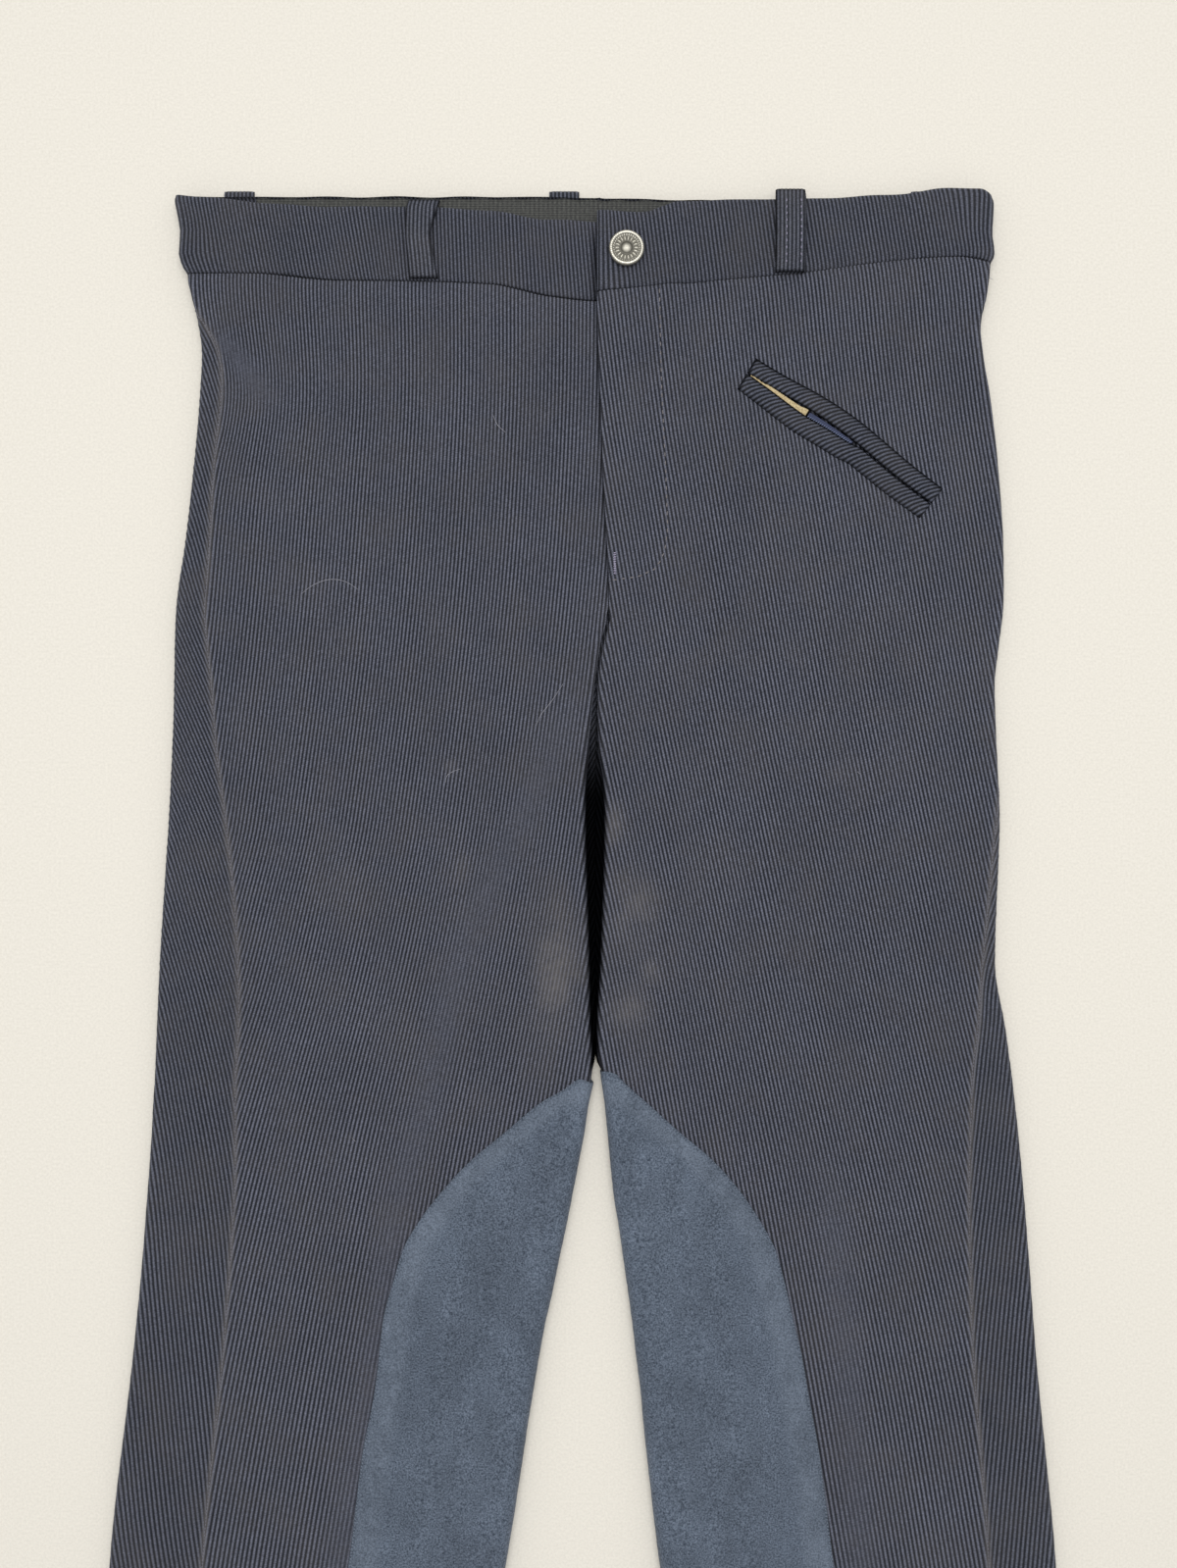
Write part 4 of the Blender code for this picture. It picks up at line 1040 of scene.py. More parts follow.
def loop_object(half, table, material, pitch):
    """A ribbed strip sewn down at both ends and bowed off the waistband between them."""
    keys = table.rows[:, 0]
    rows = np.linspace(keys[0], keys[-1], 30)
    start, end = table.at("start", rows), table.at("end", rows)
    share = np.linspace(0, 1, 33)
    x = start[:, None] + (end - start)[:, None] * share
    d = rows[:, None] + 0 * x
    across = (x - start[:, None]) / pitch
    edge = np.minimum(share, 1 - share) * LOOP_WIDTH
    z = half.front_height(x, d) + CLOTH / 2 + SEAM_GAP + 0.3 + LOOP + table.at("rise", d)
    z = z + rib_rise(across, 1.0, 0.3) - 0.7 * np.exp(-((edge / 1.0) ** 2))
    uv = np.stack([across, d / 10], -1)
    # Each side turns under and each end is sewn down, in shade.
    ends = np.minimum(d - keys[0], keys[-1] - d)
    deep = 0.75 * np.maximum(np.exp(-((edge / 0.9) ** 2)) + 0 * x, np.exp(-((ends / 0.7) ** 2)))
    made = slab(f"loop_front_{half.name}", x, d, z, material, LOOP * 0.8, uv, {"deep": deep})
    return made, ((LOOP_WIDTH / 1000, (keys[-1] - keys[0]) / 1000), LOOP_WIDTH * (keys[-1] - keys[0]) / 1e6)


def back_loop_object(where, at, material, pitch):
    """A strip behind the waistband. Its fold stands past the top edge."""
    top = BACK_LOOP_TOP + np.array([0, 0.2, 0.6, 1.4, 3.0, 6, 10])
    rows = np.concatenate([top, np.linspace(9, BACK_LOOP_END, 9)])
    share = np.linspace(-1, 1, 33)
    x = at + LOOP_WIDTH / 2 * share[None, :] + 0 * rows[:, None]
    d = rows[:, None] + 0 * x
    edge = (1 - np.abs(share)) * LOOP_WIDTH / 2
    across = x / pitch
    sink = 0.6 * np.exp(-(((d - BACK_LOOP_TOP) / 0.8) ** 2)) + 0.5 * np.exp(-((edge / 1.0) ** 2))[None, :]
    z = LOOP + rib_rise(across, 1.0, 0.22) - sink
    made = slab(f"loop_back_{where}", x, d, z, material, 0.8, np.stack([across, d / 10], -1))
    tall = BACK_LOOP_END - BACK_LOOP_TOP
    return made, ((LOOP_WIDTH / 1000, tall / 1000), LOOP_WIDTH * tall / 1e6)


def along_pocket(along, out):
    """(x, d) beside the slit: along it, and out across it, down positive."""
    last = POCKET.rows[-1, 0]
    held = np.clip(along, 0, last)
    before, after = np.maximum(held - 10, 0), np.minimum(held + 10, last)
    run_x = POCKET.at("x", after) - POCKET.at("x", before)
    run_d = POCKET.at("d", after) - POCKET.at("d", before)
    run_x, run_d = run_x / np.hypot(run_x, run_d), run_d / np.hypot(run_x, run_d)
    past = along - held
    x = POCKET.at("x", held) + run_x * past - run_d * out
    return x, POCKET.at("d", held) + run_d * past + run_x * out


def pocket_strip(name, span, near, far, height, material, depth, steps, shape, ribbed):
    """A strip beside the slit. near and far give its edges across the slit, and shape its cross-section."""
    # A welt has a narrow margin of painted shade, where its seam sinks into the front: (outer edge, start,
    # end).
    margins = {"pocket_welt_upper_cloth": (0.75, 0.8, 0.1), "pocket_welt_lower_cloth": (0.2, 0.8, 0.1)}
    margin = margins.get(name, (0, 0, 0))
    along = np.linspace(span[0] - margin[1], span[1] + margin[2], steps[0])[:, None] + np.zeros(steps[1])
    first, last = near(along), far(along)
    outward = margin[0] * np.sign(first + last)
    first, last = (first + outward, last) if outward[0, 0] < 0 else (first, last + outward)
    out = first + (last - first) * np.linspace(0, 1, steps[1])[None, :]
    x, d = along_pocket(along, out)
    share = np.clip((out - near(along)) / (far(along) - near(along)), 0, 1)
    ends = np.minimum(along - span[0], span[1] - along)
    outer = np.abs(first + last) / 2 + np.abs(last - first) / 2 - margin[0] - np.abs(out)
    inside = np.minimum(outer, ends) if ribbed else 1 + 0 * ends
    sewn = 1 - ease(inside, -0.15, 0.3)
    cloth = RIGHT.front_height(x, d) + SKIN
    z = cloth + SEAM_GAP + height + shape(share, along) - 0.4 * np.exp(-((ends / 0.9) ** 2))
    rib = welt_ribs(x, d, share) * ribbed
    z = z + rib_rise(rib, ribbed * (1 - np.exp(-((ends / 1.5) ** 2))), 0.42)
    z = z + (cloth + 0.1 - z) * sewn
    # Painted shade: the slit between the welts is dark, and each welt darkens where it turns under.
    gape = POCKET.at("gape", along)
    slit = 1 - ease(np.abs(out - gape / 2) - gape / 2, 0.3, 0.9)
    under = 0.5 * np.exp(-((np.minimum(share, 1 - share) / 0.1) ** 2)) + 0.5 * np.exp(-((ends / 0.7) ** 2))
    values = {"wear": 0 * x, "deep": np.maximum.reduce([0.95 * slit, under, 0.85 * sewn]) * ribbed}
    return slab(name, x, d, z, material, depth, np.stack([rib, along / 10], -1), values)


WELT_SLANT = math.radians(20)  # the welts are cut so that their ribs rise to the wearer's left
WELT_RIB = 1.9


def welt_ribs(x, d, share):
    """Which rib of a welt a point is on. The ribs bow as they go round its back."""
    return (x * math.sin(WELT_SLANT) + d * math.cos(WELT_SLANT)) / WELT_RIB + 0.3 * np.sin(np.pi * share)


def rounded(share, _along):
    """The rounded back of a folded welt."""
    return 1.1 * np.sqrt(np.sin(np.pi * np.clip(share, 0.02, 0.98))) - 1.1


def knotted(share, along):
    return 0.14 * np.sin(along * 9) * np.sin(share * 14)


def looped(_share, along):
    return 0.16 * np.sin(along * 5.5)


def slit_above(along):
    return 0 * along - 0.15


def slit_below(along):
    return POCKET.at("gape", along)


def upper_edge(along):
    return -POCKET.at("upper", along)


def lower_edge(along):
    return POCKET.at("gape", along) + POCKET.at("lower", along)


def tape_near(along):
    """The tape is a few knotted threads at first, and then whole."""
    wide = np.interp(along, (1.5, 9, 11, 14, 30, 34), (0.3, 0.5, 1.0, 1.5, 2.4, 3.2))
    return tape_far(along) - wide - 0.35 * np.abs(np.sin(along * 1.3)) * (1 - ease(along, 11, 14))


def tape_far(along):
    return POCKET.at("gape", along) - 0.1


def serge_near(along):
    return 0.3 * POCKET.at("gape", along)


def serge_far(along):
    return POCKET.at("gape", along) - 0.2


def button_object(material):
    """A tack button's cap: a rope rim, a ring of plain rays between two bands of dots, and a domed boss."""
    base = float(RIGHT.front_height(np.array(BUTTON_X), np.array(BUTTON_D))) + SKIN + SEAM_GAP
    profile = np.array(
        [(0, 2.3), (1.2, 2.28), (2.2, 2.15), (2.7, 1.9), (3.0, 1.75), (5.9, 1.75), (6.3, 1.8), (6.6, 2.2)]
        + [(6.9, 2.55), (7.4, 2.72), (7.9, 2.6), (8.3, 2.1), (8.5, 1.5), (8.5, 0.9), (8.0, 0.4), (7.2, 0.0)]
    )
    length = np.concatenate([[0], np.cumsum(np.hypot(*np.diff(profile, axis=0).T))])
    at = np.linspace(0, length[-1], 70)
    radius, height = np.interp(at, length, profile[:, 0]), np.interp(at, length, profile[:, 1])
    sides = 216
    a = np.arange(sides) * 2 * np.pi / sides
    r, a2 = radius[:, None] + 0 * a, a[None, :] + 0 * radius[:, None]
    upper = at[:, None] < 11.2
    rays = 0.5 + 0.5 * np.cos(18 * a2)
    ray_zone = ease(r, 3.3, 3.9) * (1 - ease(r, 5.1, 5.7)) * upper
    dots = (0.5 + 0.5 * np.cos(36 * a2)) * np.exp(-(((r - 6.15) / 0.3) ** 2)) * upper
    ropes = (0.5 + 0.5 * np.cos(48 * a2 + 2.2 * r)) * np.exp(-(((r - 7.45) / 0.5) ** 2)) * upper
    relief = 0.42 * rays**2 * ray_zone + 0.28 * dots + 0.12 * ropes
    z = base + height[:, None] + relief
    rim = np.exp(-(((r - 7.5) / 0.75) ** 2))
    bright = np.clip(0.15 + 1.1 * rays**2 * ray_zone + 0.9 * dots + 1.1 * rim, 0, 1)
    bright = np.maximum(bright, 0.8 * np.exp(-((r / 1.9) ** 2)) * upper)
    x, d = BUTTON_X + r * np.cos(a2), BUTTON_D + r * np.sin(a2)
    points = to_frame(x, d, z)[1:].reshape(-1, 3)
    tall = len(at) - 1
    index = np.arange(tall * sides).reshape(tall, sides)
    p, q = index[:-1], index[1:]
    faces = np.concatenate(
        [np.stack([p, np.roll(p, -1, 1), np.roll(q, -1, 1)], -1).reshape(-1, 3)]
        + [np.stack([p, np.roll(q, -1, 1), q], -1).reshape(-1, 3)]
    )
    top = to_frame(BUTTON_X, BUTTON_D, base + profile[0, 1]).reshape(1, 3)
    low = to_frame(BUTTON_X, BUTTON_D, base).reshape(1, 3)
    n = len(points)
    cap = np.stack([np.full(sides, n), np.roll(index[0], -1), index[0]], -1)
    foot = np.stack([np.full(sides, n + 1), index[-1], np.roll(index[-1], -1)], -1)
    points = np.concatenate([points, top, low])
    faces = np.concatenate([faces, cap, foot])
    bright = np.concatenate([bright[1:].ravel(), [0.8, 0.0]])
    corner = points[faces]
    cross = np.cross(corner[:, 1] - corner[:, 0], corner[:, 2] - corner[:, 0])
    volume = np.einsum("ij,ij->i", corner[:, 0] - points.mean(0), cross).sum()
    if volume < 0:
        faces = faces[:, ::-1]
    return mesh_object("button", points, faces, material, None, {"wear": bright})


def stitch_tree(material):
    """Geometry Nodes: rounded stitches along a line, a little uneven, realized to a mesh."""
    tree = bpy.data.node_groups.new("stitches along a line", "GeometryNodeTree")
    tree.interface.new_socket("Geometry", in_out="INPUT", socket_type="NodeSocketGeometry")
    kinds = {key: "Float" for key in ("Spacing", "Stitch length", "Thread radius", "Slant")}
    kinds["Seed"] = "Int"
    sockets = {
        label: tree.interface.new_socket(label, in_out="INPUT", socket_type=f"NodeSocket{kind}")
        for label, kind in kinds.items()
    }
    tree.interface.new_socket("Geometry", in_out="OUTPUT", socket_type="NodeSocketGeometry")
    given = {label: node(tree, "NodeGroupInput", out=label) for label in ("Geometry", *kinds)}
    line = node(tree, "GeometryNodeMeshToCurve", {"Mesh": given["Geometry"]})
    line = node(tree, "GeometryNodeResampleCurve", {"Curve": line, "Length": given["Spacing"]}, mode="LENGTH")
    bead = node(tree, "GeometryNodeMeshUVSphere", {"Segments": 6, "Rings": 4, "Radius": 1.0})
    tangent = node(tree, "GeometryNodeInputTangent")
    turn = node(tree, "FunctionNodeAlignRotationToVector", {"Vector": tangent}, axis="X")
    wobble = {2: -STITCH_WOBBLE, 3: STITCH_WOBBLE, "Seed": given["Seed"]}
    wobble = node(tree, "FunctionNodeRandomValue", wobble, 1, data_type="FLOAT")
    angle = node(tree, MATH, (wobble, given["Slant"]), operation="ADD")
    spin = node(tree, "ShaderNodeCombineXYZ", {2: angle})
    spin = node(tree, "FunctionNodeEulerToRotation", (spin,))
    both = {"Rotation": turn, "Rotate By": spin}
    turn = node(tree, "FunctionNodeRotateRotation", both, rotation_space="LOCAL")
    half_long = node(tree, MATH, (given["Stitch length"], 0.5), operation="MULTIPLY")
    size = (half_long, given["Thread radius"], given["Thread radius"])
    size = node(tree, "ShaderNodeCombineXYZ", size)
    placed = {"Points": line, "Instance": bead, "Rotation": turn, "Scale": size}
    placed = node(tree, "GeometryNodeInstanceOnPoints", placed)
    real = node(tree, "GeometryNodeRealizeInstances", (placed,))
    done = node(tree, "GeometryNodeSetMaterial", {"Geometry": real, "Material": material})
    node(tree, "NodeGroupOutput", (done,))
    return tree, {label: socket.identifier for label, socket in sockets.items()}


def stitched(name, lines, material, spacing, long, radius, slant=0.0, seed=1):
    """Stitches along lines of frame points, as one plain mesh."""
    points, edges, n = [], [], 0
    for line in lines:
        points.append(line)
        edges += [(n + k, n + k + 1) for k in range(len(line) - 1)]
        n += len(line)
    mesh = bpy.data.meshes.new(name + "_line")
    mesh.from_pydata(np.concatenate(points).tolist(), edges, [])
    guide = bpy.data.objects.new(name + "_line", mesh)
    bpy.context.scene.collection.objects.link(guide)
    tree, ids = stitch_tree(material)
    modifier = guide.modifiers.new("stitches", "NODES")
    modifier.node_group = tree
    sizes = {"Spacing": spacing, "Stitch length": long, "Thread radius": radius}
    for label, value in sizes.items():
        modifier[ids[label]] = value / 1000
    modifier[ids["Slant"]] = slant
    modifier[ids["Seed"]] = seed
    graph = bpy.context.evaluated_depsgraph_get()
    plain = bpy.data.meshes.new_from_object(guide.evaluated_get(graph))
    made = bpy.data.objects.new(name, plain)
    bpy.context.scene.collection.objects.link(made)
    bpy.data.objects.remove(guide, do_unlink=True)
    plain.polygons.foreach_set("use_smooth", np.ones(len(plain.polygons), bool))
    return made


def fibres(name, paths, radius, material, sides=5):
    """Loose fibres: a thin tube along each path of frame points, joined in one mesh."""
    points, faces, n = [], [], 0
    for path in paths:
        path = np.asarray(path, float)
        run = np.gradient(path, axis=0)
        run /= np.linalg.norm(run, axis=1)[:, None]
        side = np.cross(run, [0.0, 0.0, 1.0])
        side /= np.linalg.norm(side, axis=1)[:, None]
        up = np.cross(side, run)
        a = np.arange(sides) * 2 * np.pi / sides
        thin = radius / 1000 * np.sin(np.linspace(0.25, np.pi - 0.25, len(path)))[:, None, None] ** 0.5
        ring = side[:, None] * np.cos(a)[None, :, None] + up[:, None] * np.sin(a)[None, :, None]
        points.append((path[:, None] + ring * thin).reshape(-1, 3))
        index = n + np.arange(len(path) * sides).reshape(len(path), sides)
        p, q = index[:-1], index[1:]
        p2, q2 = np.roll(p, -1, 1), np.roll(q, -1, 1)
        faces.append(np.stack([p, q, q2], -1).reshape(-1, 3))
        faces.append(np.stack([p, q2, p2], -1).reshape(-1, 3))
        for end, way in ((index[0], 1), (index[-1], -1)):
            fan = np.stack([np.full(sides - 2, end[0]), end[1:-1], end[2:]], -1)
            faces.append(fan[:, ::way])
        n += len(path) * sides
    return mesh_object(name, np.concatenate(points), np.concatenate(faces), material)


def seam_line(half, start=52.0, end=LENGTH - 6):
    """Points just over the groove of a side seam, where it shows on top or on the fold."""
    d = np.arange(start, end, 3.0)
    s = half.section("seam", d)
    d = d[s > -3.0]
    s = half.section("seam", d)
    x, z, nx, nz = half.round_outer(s, d)
    out = SKIN - 0.05
    return to_frame(x + nx * out, d, z + nz * out)


def front_line(half, xs, ds, out):
    """Points over a front along a drawn line."""
    xs, ds = np.asarray(xs, float), np.asarray(ds, float)
    t = np.concatenate([[0], np.cumsum(np.hypot(np.diff(xs), np.diff(ds)))])
    at = np.linspace(0, t[-1], max(8, int(t[-1] / 1.5)))
    x, d = np.interp(at, t, xs), np.interp(at, t, ds)
    return to_frame(x, d, half.front_height(x, d) + out)


def distance(name, description, default):
    return bpy.props.FloatProperty(name=name, description=description, default=default, unit="LENGTH")


def tint(name, description, code):
    return bpy.props.FloatVectorProperty(
        name=name, description=description, default=linear(code), size=4, min=0.0, max=1.0, subtype="COLOR"
    )


class BreechesSizes(bpy.types.PropertyGroup):
    """Sizes and colours that a user may change before building."""

    rib_left: distance("Rib pitch, left", "Distance between ribs on the left half", 0.00183)
    rib_right: distance("Rib pitch, right", "Distance between ribs on the right half", 0.00194)
    rib_depth: distance("Rib depth", "How deep the grooves between ribs are", 0.00042)
    camera_height: distance("Camera height", "Lens above the surface", 0.594)
    ridge: tint("Rib tops", "Colour of the fronts' rib tops", "676A78")
    # The colour between ribs is painted shade.
    groove: tint("Rib grooves", "Colour between ribs", "1D2028")
    suede: tint("Suede", "Colour of the suede's nap at its tips", "737E8E")
    stitch: tint("Stitching", "Colour of the side seams' thread", "787781")
    metal: tint("Button", "Colour of the button where it is rubbed", "E4E0D2")
    backing: tint("Backing", "Palest colour of the sheet under the breeches", "F2EDE2")


def sizes():
    return bpy.context.scene.breeches


def shared(name, maker, *given):
    """The material of this name, made the first time it is asked for."""
    return bpy.data.materials.get(name) or maker(name, *given)


def given_colour(key):
    return tuple(getattr(sizes(), key))


def rib(name, code=None):
    """Rib cloth with rib tops of the given colour, or the user's."""
    tops = linear(code) if code else given_colour("ridge")
    return shared(name, rib_cloth, tops, given_colour("groove"))


def thread_of(name, code):
    return shared(name, thread, linear(code))


class BREECHES_OT_panels(bpy.types.Operator):
    """Builds the two fronts and the two backs in ribbed cloth"""

    bl_idname = "breeches.panels"
    bl_label = "Panels"

    def execute(self, context):
        given = sizes()
        for half, pitch in ((LEFT, given.rib_left * 1000), (RIGHT, given.rib_right * 1000)):
            for part in ("front", "back"):
                # The backs show only round the outer folds and in the valley; their darker rib tops are
                # painted shade.
                cloth = rib(f"worsted rib {part}", None if part == "front" else "5E616E")
                grid, clamp = panel_grid(half, part, pitch, given.rib_depth * 1000)
                made = ribbed_sheet(f"{part}_{half.name}_cloth", grid, clamp, cloth)
                rows = np.arange(WAIST, LENGTH + 1)
                seam = half.section("seam", rows)
                ends = (seam, half.front_length(rows)) if part == "front" else (-half.back_length(rows), seam)
                declare(made, [f"{part}_{half.name}"])
        return {"FINISHED"}


class BREECHES_OT_waistband(bpy.types.Operator):
    """Builds the waistband of each half and the elastic inside the back"""

    bl_idname = "breeches.waistband"
    bl_label = "Waistband"

    def execute(self, context):
        given = sizes()
        cloth = rib("worsted rib waistband", "5C5F6C")
        for half, pitch in ((LEFT, given.rib_left * 1000), (RIGHT, given.rib_right * 1000)):
            grid, clamp, cut = band_grid(half, pitch, given.rib_depth * 1000)
            made = ribbed_sheet(f"waistband_{half.name}_cloth", grid, clamp, cloth)
            declare(made, [f"waistband_{half.name}"])
        x = np.linspace(-165, 165, 331)[None, :] + np.zeros((22, 1))
        top = np.where(x < 0, LEFT.waist.at("back_top", x), RIGHT.waist.at("back_top", x)) + ELASTIC_SET
        low = np.where(x < 0, LEFT.waist.at("back_seam", x), RIGHT.waist.at("back_seam", x)) - 3
        share = np.linspace(0, 1, 22)[:, None]
        d = low + (top + 0.25 * np.sin(x / 2.1) - low) * share
        base = np.where(x < 0, LEFT.back_height(x, d), RIGHT.back_height(x, d))
        course = d / 1.1
        z = base + CLOTH / 2 + SEAM_GAP + ELASTIC
        weave = shared("woven elastic", woven_elastic)
        made = slab("elastic", x, d, z, weave, ELASTIC, np.stack([x / 2.2, course], -1))
        declare(made, ["waistband_elastic"])
        return {"FINISHED"}


class BREECHES_OT_patches(bpy.types.Operator):
    """Builds the suede knee patches"""

    bl_idname = "breeches.patches"
    bl_label = "Knee patches"

    def execute(self, context):
        for half in (LEFT, RIGHT):
            made, cut = patch_object(half, shared("brushed suede", suede, given_colour("suede")))
            declare(made, [f"knee_patch_{half.name}"])
        return {"FINISHED"}


class BREECHES_OT_loops(bpy.types.Operator):
    """Builds the belt loops, two in front and three behind"""

    bl_idname = "breeches.loops"
    bl_label = "Belt loops"

    def execute(self, context):
        cloth = rib("worsted rib loops", "60636F")
        for half, table in ((LEFT, LEFT_LOOP), (RIGHT, RIGHT_LOOP)):
            made, cut = loop_object(half, table, cloth, 1.9)
            declare(made, [f"belt_loop_front_{half.name}"])
        for where, at in BACK_LOOPS:
            made, cut = back_loop_object(where, at, cloth, 1.9)
            declare(made, [f"belt_loop_back_{where}"])
        return {"FINISHED"}


class BREECHES_OT_pocket(bpy.types.Operator):
    """Builds the hip pocket's welts, frayed tape and serged edge"""

    bl_idname = "breeches.pocket"
    bl_label = "Hip pocket"

    def execute(self, context):
        # The welts' dark colour between ribs is painted shade, as on all the rib cloth.
        cloth = shared("worsted rib welts", rib_cloth, linear("585C6A"), linear("14161C"))
        tape = shared("cotton tape", cotton_tape)
        serge = thread_of("overlock thread", "343C5A")
        welt = (WELT, cloth, 0.5, WELT_SPAN, WELT_STEPS, rounded, True)
        strips = (
            # node, edges near and far, height, finish, depth, span, steps, section, ribbed
            ("pocket_welt_upper", upper_edge, slit_above, *welt),
            ("pocket_welt_lower", slit_below, lower_edge, *welt),
            ("pocket_tape", tape_near, tape_far, 0.55, tape, 0.4, (1.5, 34), (90, 9), knotted, False),
            ("pocket_serged_edge", serge_near, serge_far, 0.5, serge, 0.4, (35, 60), (90, 9), looped, False),
        )
        made = {}
        for name, near, far, height, finish, depth, span, steps, shape, ribbed in strips:
            shaped = (span, near, far, height, finish, depth, steps, shape, ribbed)
            made[name] = pocket_strip(name + "_cloth", *shaped)
        along = np.linspace(35.5, 59, 44)
        x, d = along_pocket(along, serge_far(along) - 0.1)
        line = to_frame(x, d, RIGHT.front_height(x, d) + SKIN + SEAM_GAP + 0.75)
        pale = thread_of("pale blue thread", "74809E")
        loops = stitched("serging_loops", [line], pale, 1.1, 1.5, 0.2, 1.1)
        declare(made["pocket_tape"], ["pocket_tape"])
        declare(made["pocket_serged_edge"], ["pocket_serged_edge"])
        declare(loops, [])
        # The tape and the serged edge show only as slivers beside the lower welt.
        slivers = (made["pocket_tape"], made["pocket_serged_edge"], loops)
        for name, wide, beside in (("pocket_welt_upper", 8.4, ()), ("pocket_welt_lower", 8.9, slivers)):
            # A cut is stated at least 10 mm wide, so the area says how narrow the welt is.
            declare(made[name], [name])
        return {"FINISHED"}


class BREECHES_OT_button(bpy.types.Operator):
    """Builds the waist button's cap"""

    bl_idname = "breeches.button"
    bl_label = "Button"

    def execute(self, context):
        metal = shared("antique pewter", pewter, given_colour("metal"))
        declare(button_object(metal), ["button_cap"])
        return {"FINISHED"}


class BREECHES_OT_stitching(bpy.types.Operator):
    """Sews the side seams, the fly, the loop and the edges of the patches"""

    bl_idname = "breeches.stitching"
    bl_label = "Stitching"

    def execute(self, context):
        grey = shared("side seam thread", thread, given_colour("stitch"))
        faint, lilac = thread_of("tonal thread", "7C7778"), thread_of("lilac thread", "B9B2CC")
        pale = thread_of("overcast thread", "7D8797")
        over = SKIN - 0.02
        pieces = [stitched("side_seam_stitches", [seam_line(LEFT), seam_line(RIGHT)], grey, 1.7, 1.7, 0.26)]
        across = (29.3, 30.7, 32.6, 33.5, 32.0, 28.0, 19.0, 8.0)
        fly = front_line(RIGHT, across, (47, 94, 132, 160, 171, 179, 183.5, 185), over)
        pieces.append(stitched("fly_stitches", [fly], faint, 4.0, 2.6, 0.3))
        bar = [front_line(RIGHT, (x, x), (172, 182), over + 0.25) for x in (7.7, 8.2)]
        pieces.append(stitched("bar_tack", bar, lilac, 0.8, 1.1, 0.16, 1.2))
        rows = []
        for x in (90.0, 97.0):
            d = np.linspace(4, 33, 30)
            z = RIGHT.front_height(x + 0 * d, d) + SKIN + SEAM_GAP + 0.3 + LOOP + RIGHT_LOOP.at("rise", d)
            rows.append(to_frame(x, d, z - 0.02))
        pieces.append(stitched("loop_stitches", rows, lilac, 3.0, 1.5, 0.18))
        edges = []
        for half in (LEFT, RIGHT):
            d = np.arange(PATCH_TOP + 2, PATCH_END, 2.0)
            x = KNEE_PATCH.at(half.name, d) + half.inward * 0.8
            edges.append(to_frame(x, d, half.front_height(x, d) + SKIN + SEAM_GAP + 0.85))
        pieces.append(stitched("patch_overcasting", edges, pale, 1.6, 1.4, 0.2, 1.1))
        for made in pieces:
            declare(made, [])
        return {"FINISHED"}


class BREECHES_OT_lint(bpy.types.Operator):
    """Scatters the few loose fibres that lie on the cloth"""

    bl_idname = "breeches.lint"
    bl_label = "Loose fibres"

    def execute(self, context):
        pale = thread_of("loose fibre", "A3A3AC")
        drawn = (
            (LEFT, (-144, -138, -130, -122, -115), (192, 187, 184, 185, 190)),
            (LEFT, (-73.8, -73.3, -70, -65.3), (283, 279, 277, 275.5)),
            (LEFT, (-16.3, -22, -28, -30.2), (234, 243, 250, 256)),
            (LEFT, (-51, -49, -44), (104.3, 109.8, 114)),
            (LEFT, (-119, -117), (454, 456)),
            (RIGHT, (125, 127), (277, 279)),
        )
        paths = []
        for half, xs, ds in drawn:
            t = np.linspace(0, len(xs) - 1, 6 * len(xs))
            x, d = np.interp(t, range(len(xs)), xs), np.interp(t, range(len(ds)), ds)
            x, d = (np.convolve(np.pad(v, 3, mode="edge"), np.ones(7) / 7, "valid") for v in (x, d))
            paths.append(to_frame(x, d, half.front_height(x, d) + SKIN + 0.15))
        d = np.linspace(38, 40, 8)
        paths.append(to_frame(np.linspace(186.5, 190.5, 8), d, np.linspace(5.2, 6.0, 8)))
        declare(fibres("lint", paths, 0.12, pale), [])
        return {"FINISHED"}


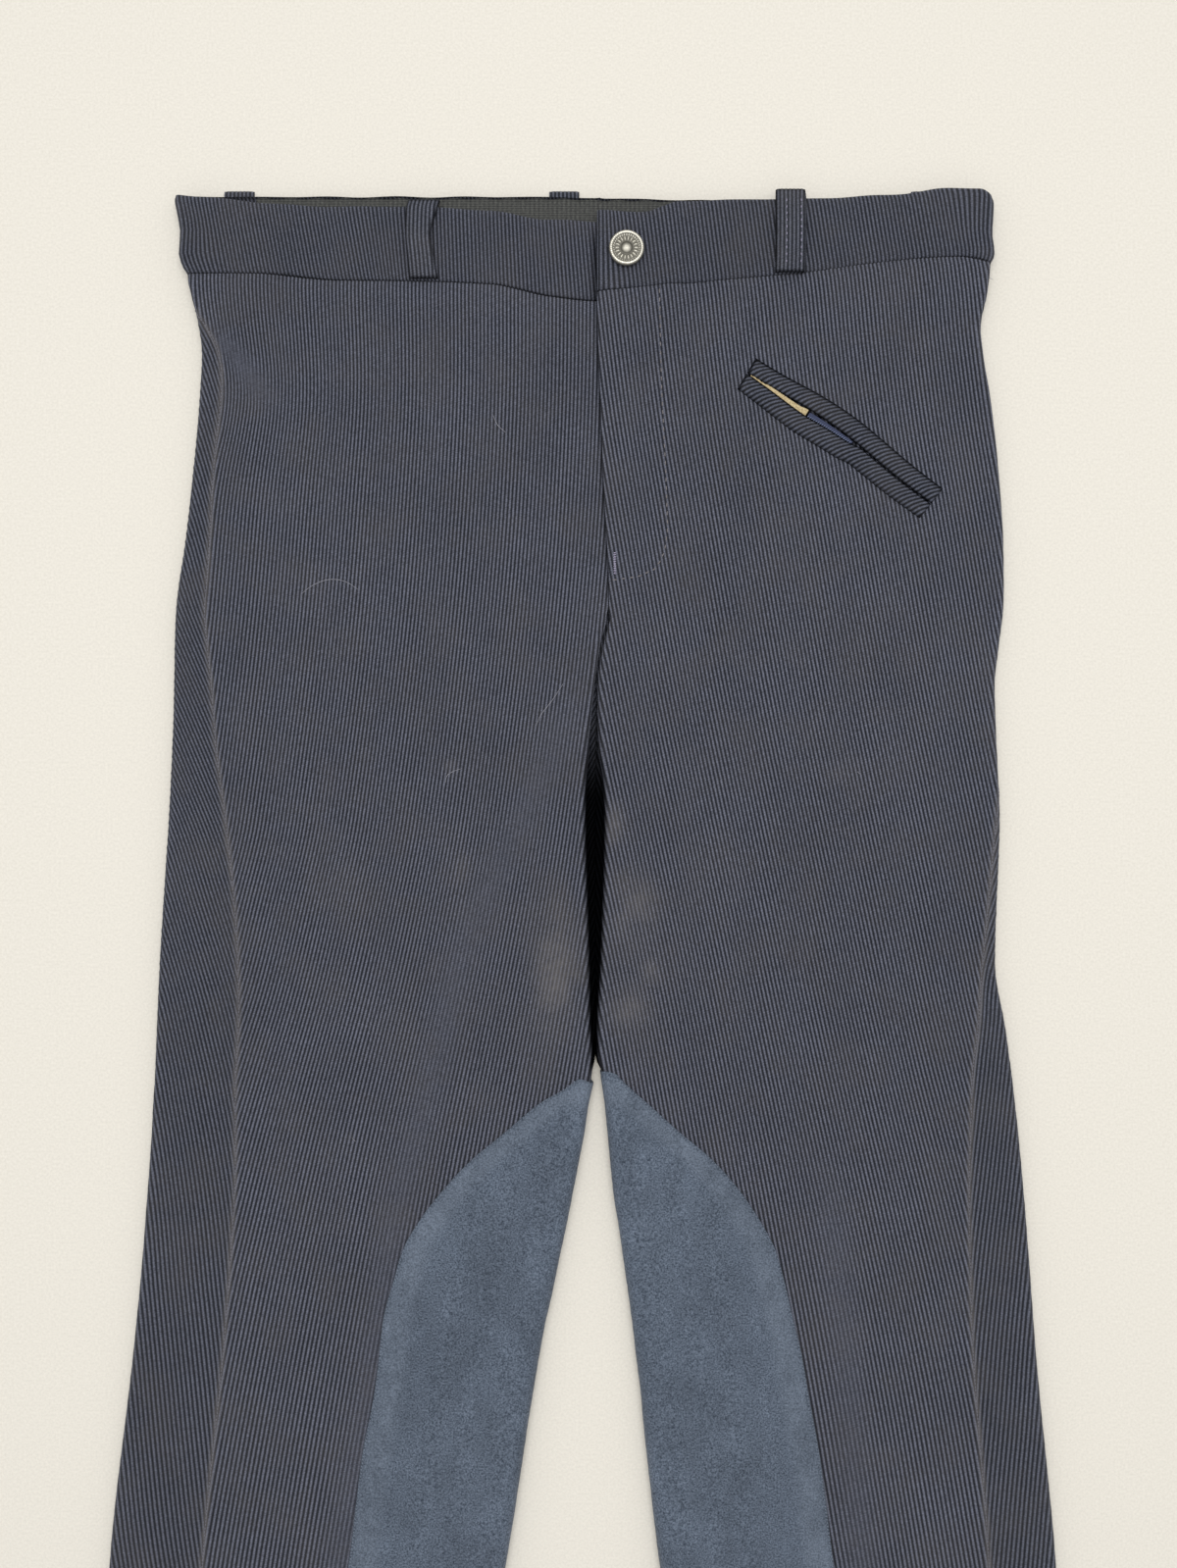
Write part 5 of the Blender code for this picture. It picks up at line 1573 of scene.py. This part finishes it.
class BREECHES_OT_stage(bpy.types.Operator):
    """Lays the pale backing and sets the soft light and the camera over the middle"""

    bl_idname = "breeches.stage"
    bl_label = "Stage"

    def execute(self, context):
        bpy.ops.mesh.primitive_plane_add(size=4.0, location=(0, 0, -0.0001))
        floor = context.object
        floor.name = "floor"
        floor.data.materials.append(shared("pale backing", floor_cloth, given_colour("backing")))
        world = context.scene.world or bpy.data.worlds.new("soft room")
        context.scene.world = world
        world.use_nodes = True
        sky = world.node_tree.nodes["Background"]
        sky.inputs["Color"].default_value = (1.0, 1.0, 1.0, 1.0)
        sky.inputs["Strength"].default_value = 0.62
        lamp = bpy.data.lights.new("softbox", "AREA")
        lamp.size, lamp.energy = 1.5, 16.0
        softbox = bpy.data.objects.new("softbox", lamp)
        softbox.location = (0.0, 0.42, 1.7)
        softbox.rotation_euler = (-softbox.location).to_track_quat("-Z", "Y").to_euler()
        context.scene.collection.objects.link(softbox)
        lens = bpy.data.cameras.new("overhead")
        lens.lens, lens.sensor_fit, lens.sensor_height = 28.0, "VERTICAL", 36.0
        camera = bpy.data.objects.new("overhead", lens)
        camera.location = to_frame(*VIEW_CENTRE, sizes().camera_height * 1000)
        context.scene.collection.objects.link(camera)
        context.scene.camera = camera
        context.scene.view_settings.view_transform = "Standard"
        return {"FINISHED"}


OPERATORS = (
    BREECHES_OT_panels,
    BREECHES_OT_waistband,
    BREECHES_OT_patches,
    BREECHES_OT_loops,
    BREECHES_OT_pocket,
    BREECHES_OT_button,
    BREECHES_OT_stitching,
    BREECHES_OT_lint,
    BREECHES_OT_stage,
)


class BREECHES_PT_build(bpy.types.Panel):
    """Lists the steps that build the breeches"""

    bl_idname = "BREECHES_PT_build"
    bl_label = "Breeches"
    bl_space_type = "VIEW_3D"
    bl_region_type = "UI"
    bl_category = "Breeches"

    def draw(self, context):
        for name in BreechesSizes.__annotations__:
            self.layout.prop(context.scene.breeches, name)
        for step in OPERATORS:
            self.layout.operator(step.bl_idname)


def register():
    for kind in (BreechesSizes, *OPERATORS, BREECHES_PT_build):
        bpy.utils.register_class(kind)
    bpy.types.Scene.breeches = bpy.props.PointerProperty(type=BreechesSizes)


def unregister():
    del bpy.types.Scene.breeches
    for kind in reversed((BreechesSizes, *OPERATORS, BREECHES_PT_build)):
        bpy.utils.unregister_class(kind)


def main():
    register()
    for step in OPERATORS:
        group, name = step.bl_idname.split(".")
        getattr(getattr(bpy.ops, group), name)()


if __name__ == "__main__":
    main()
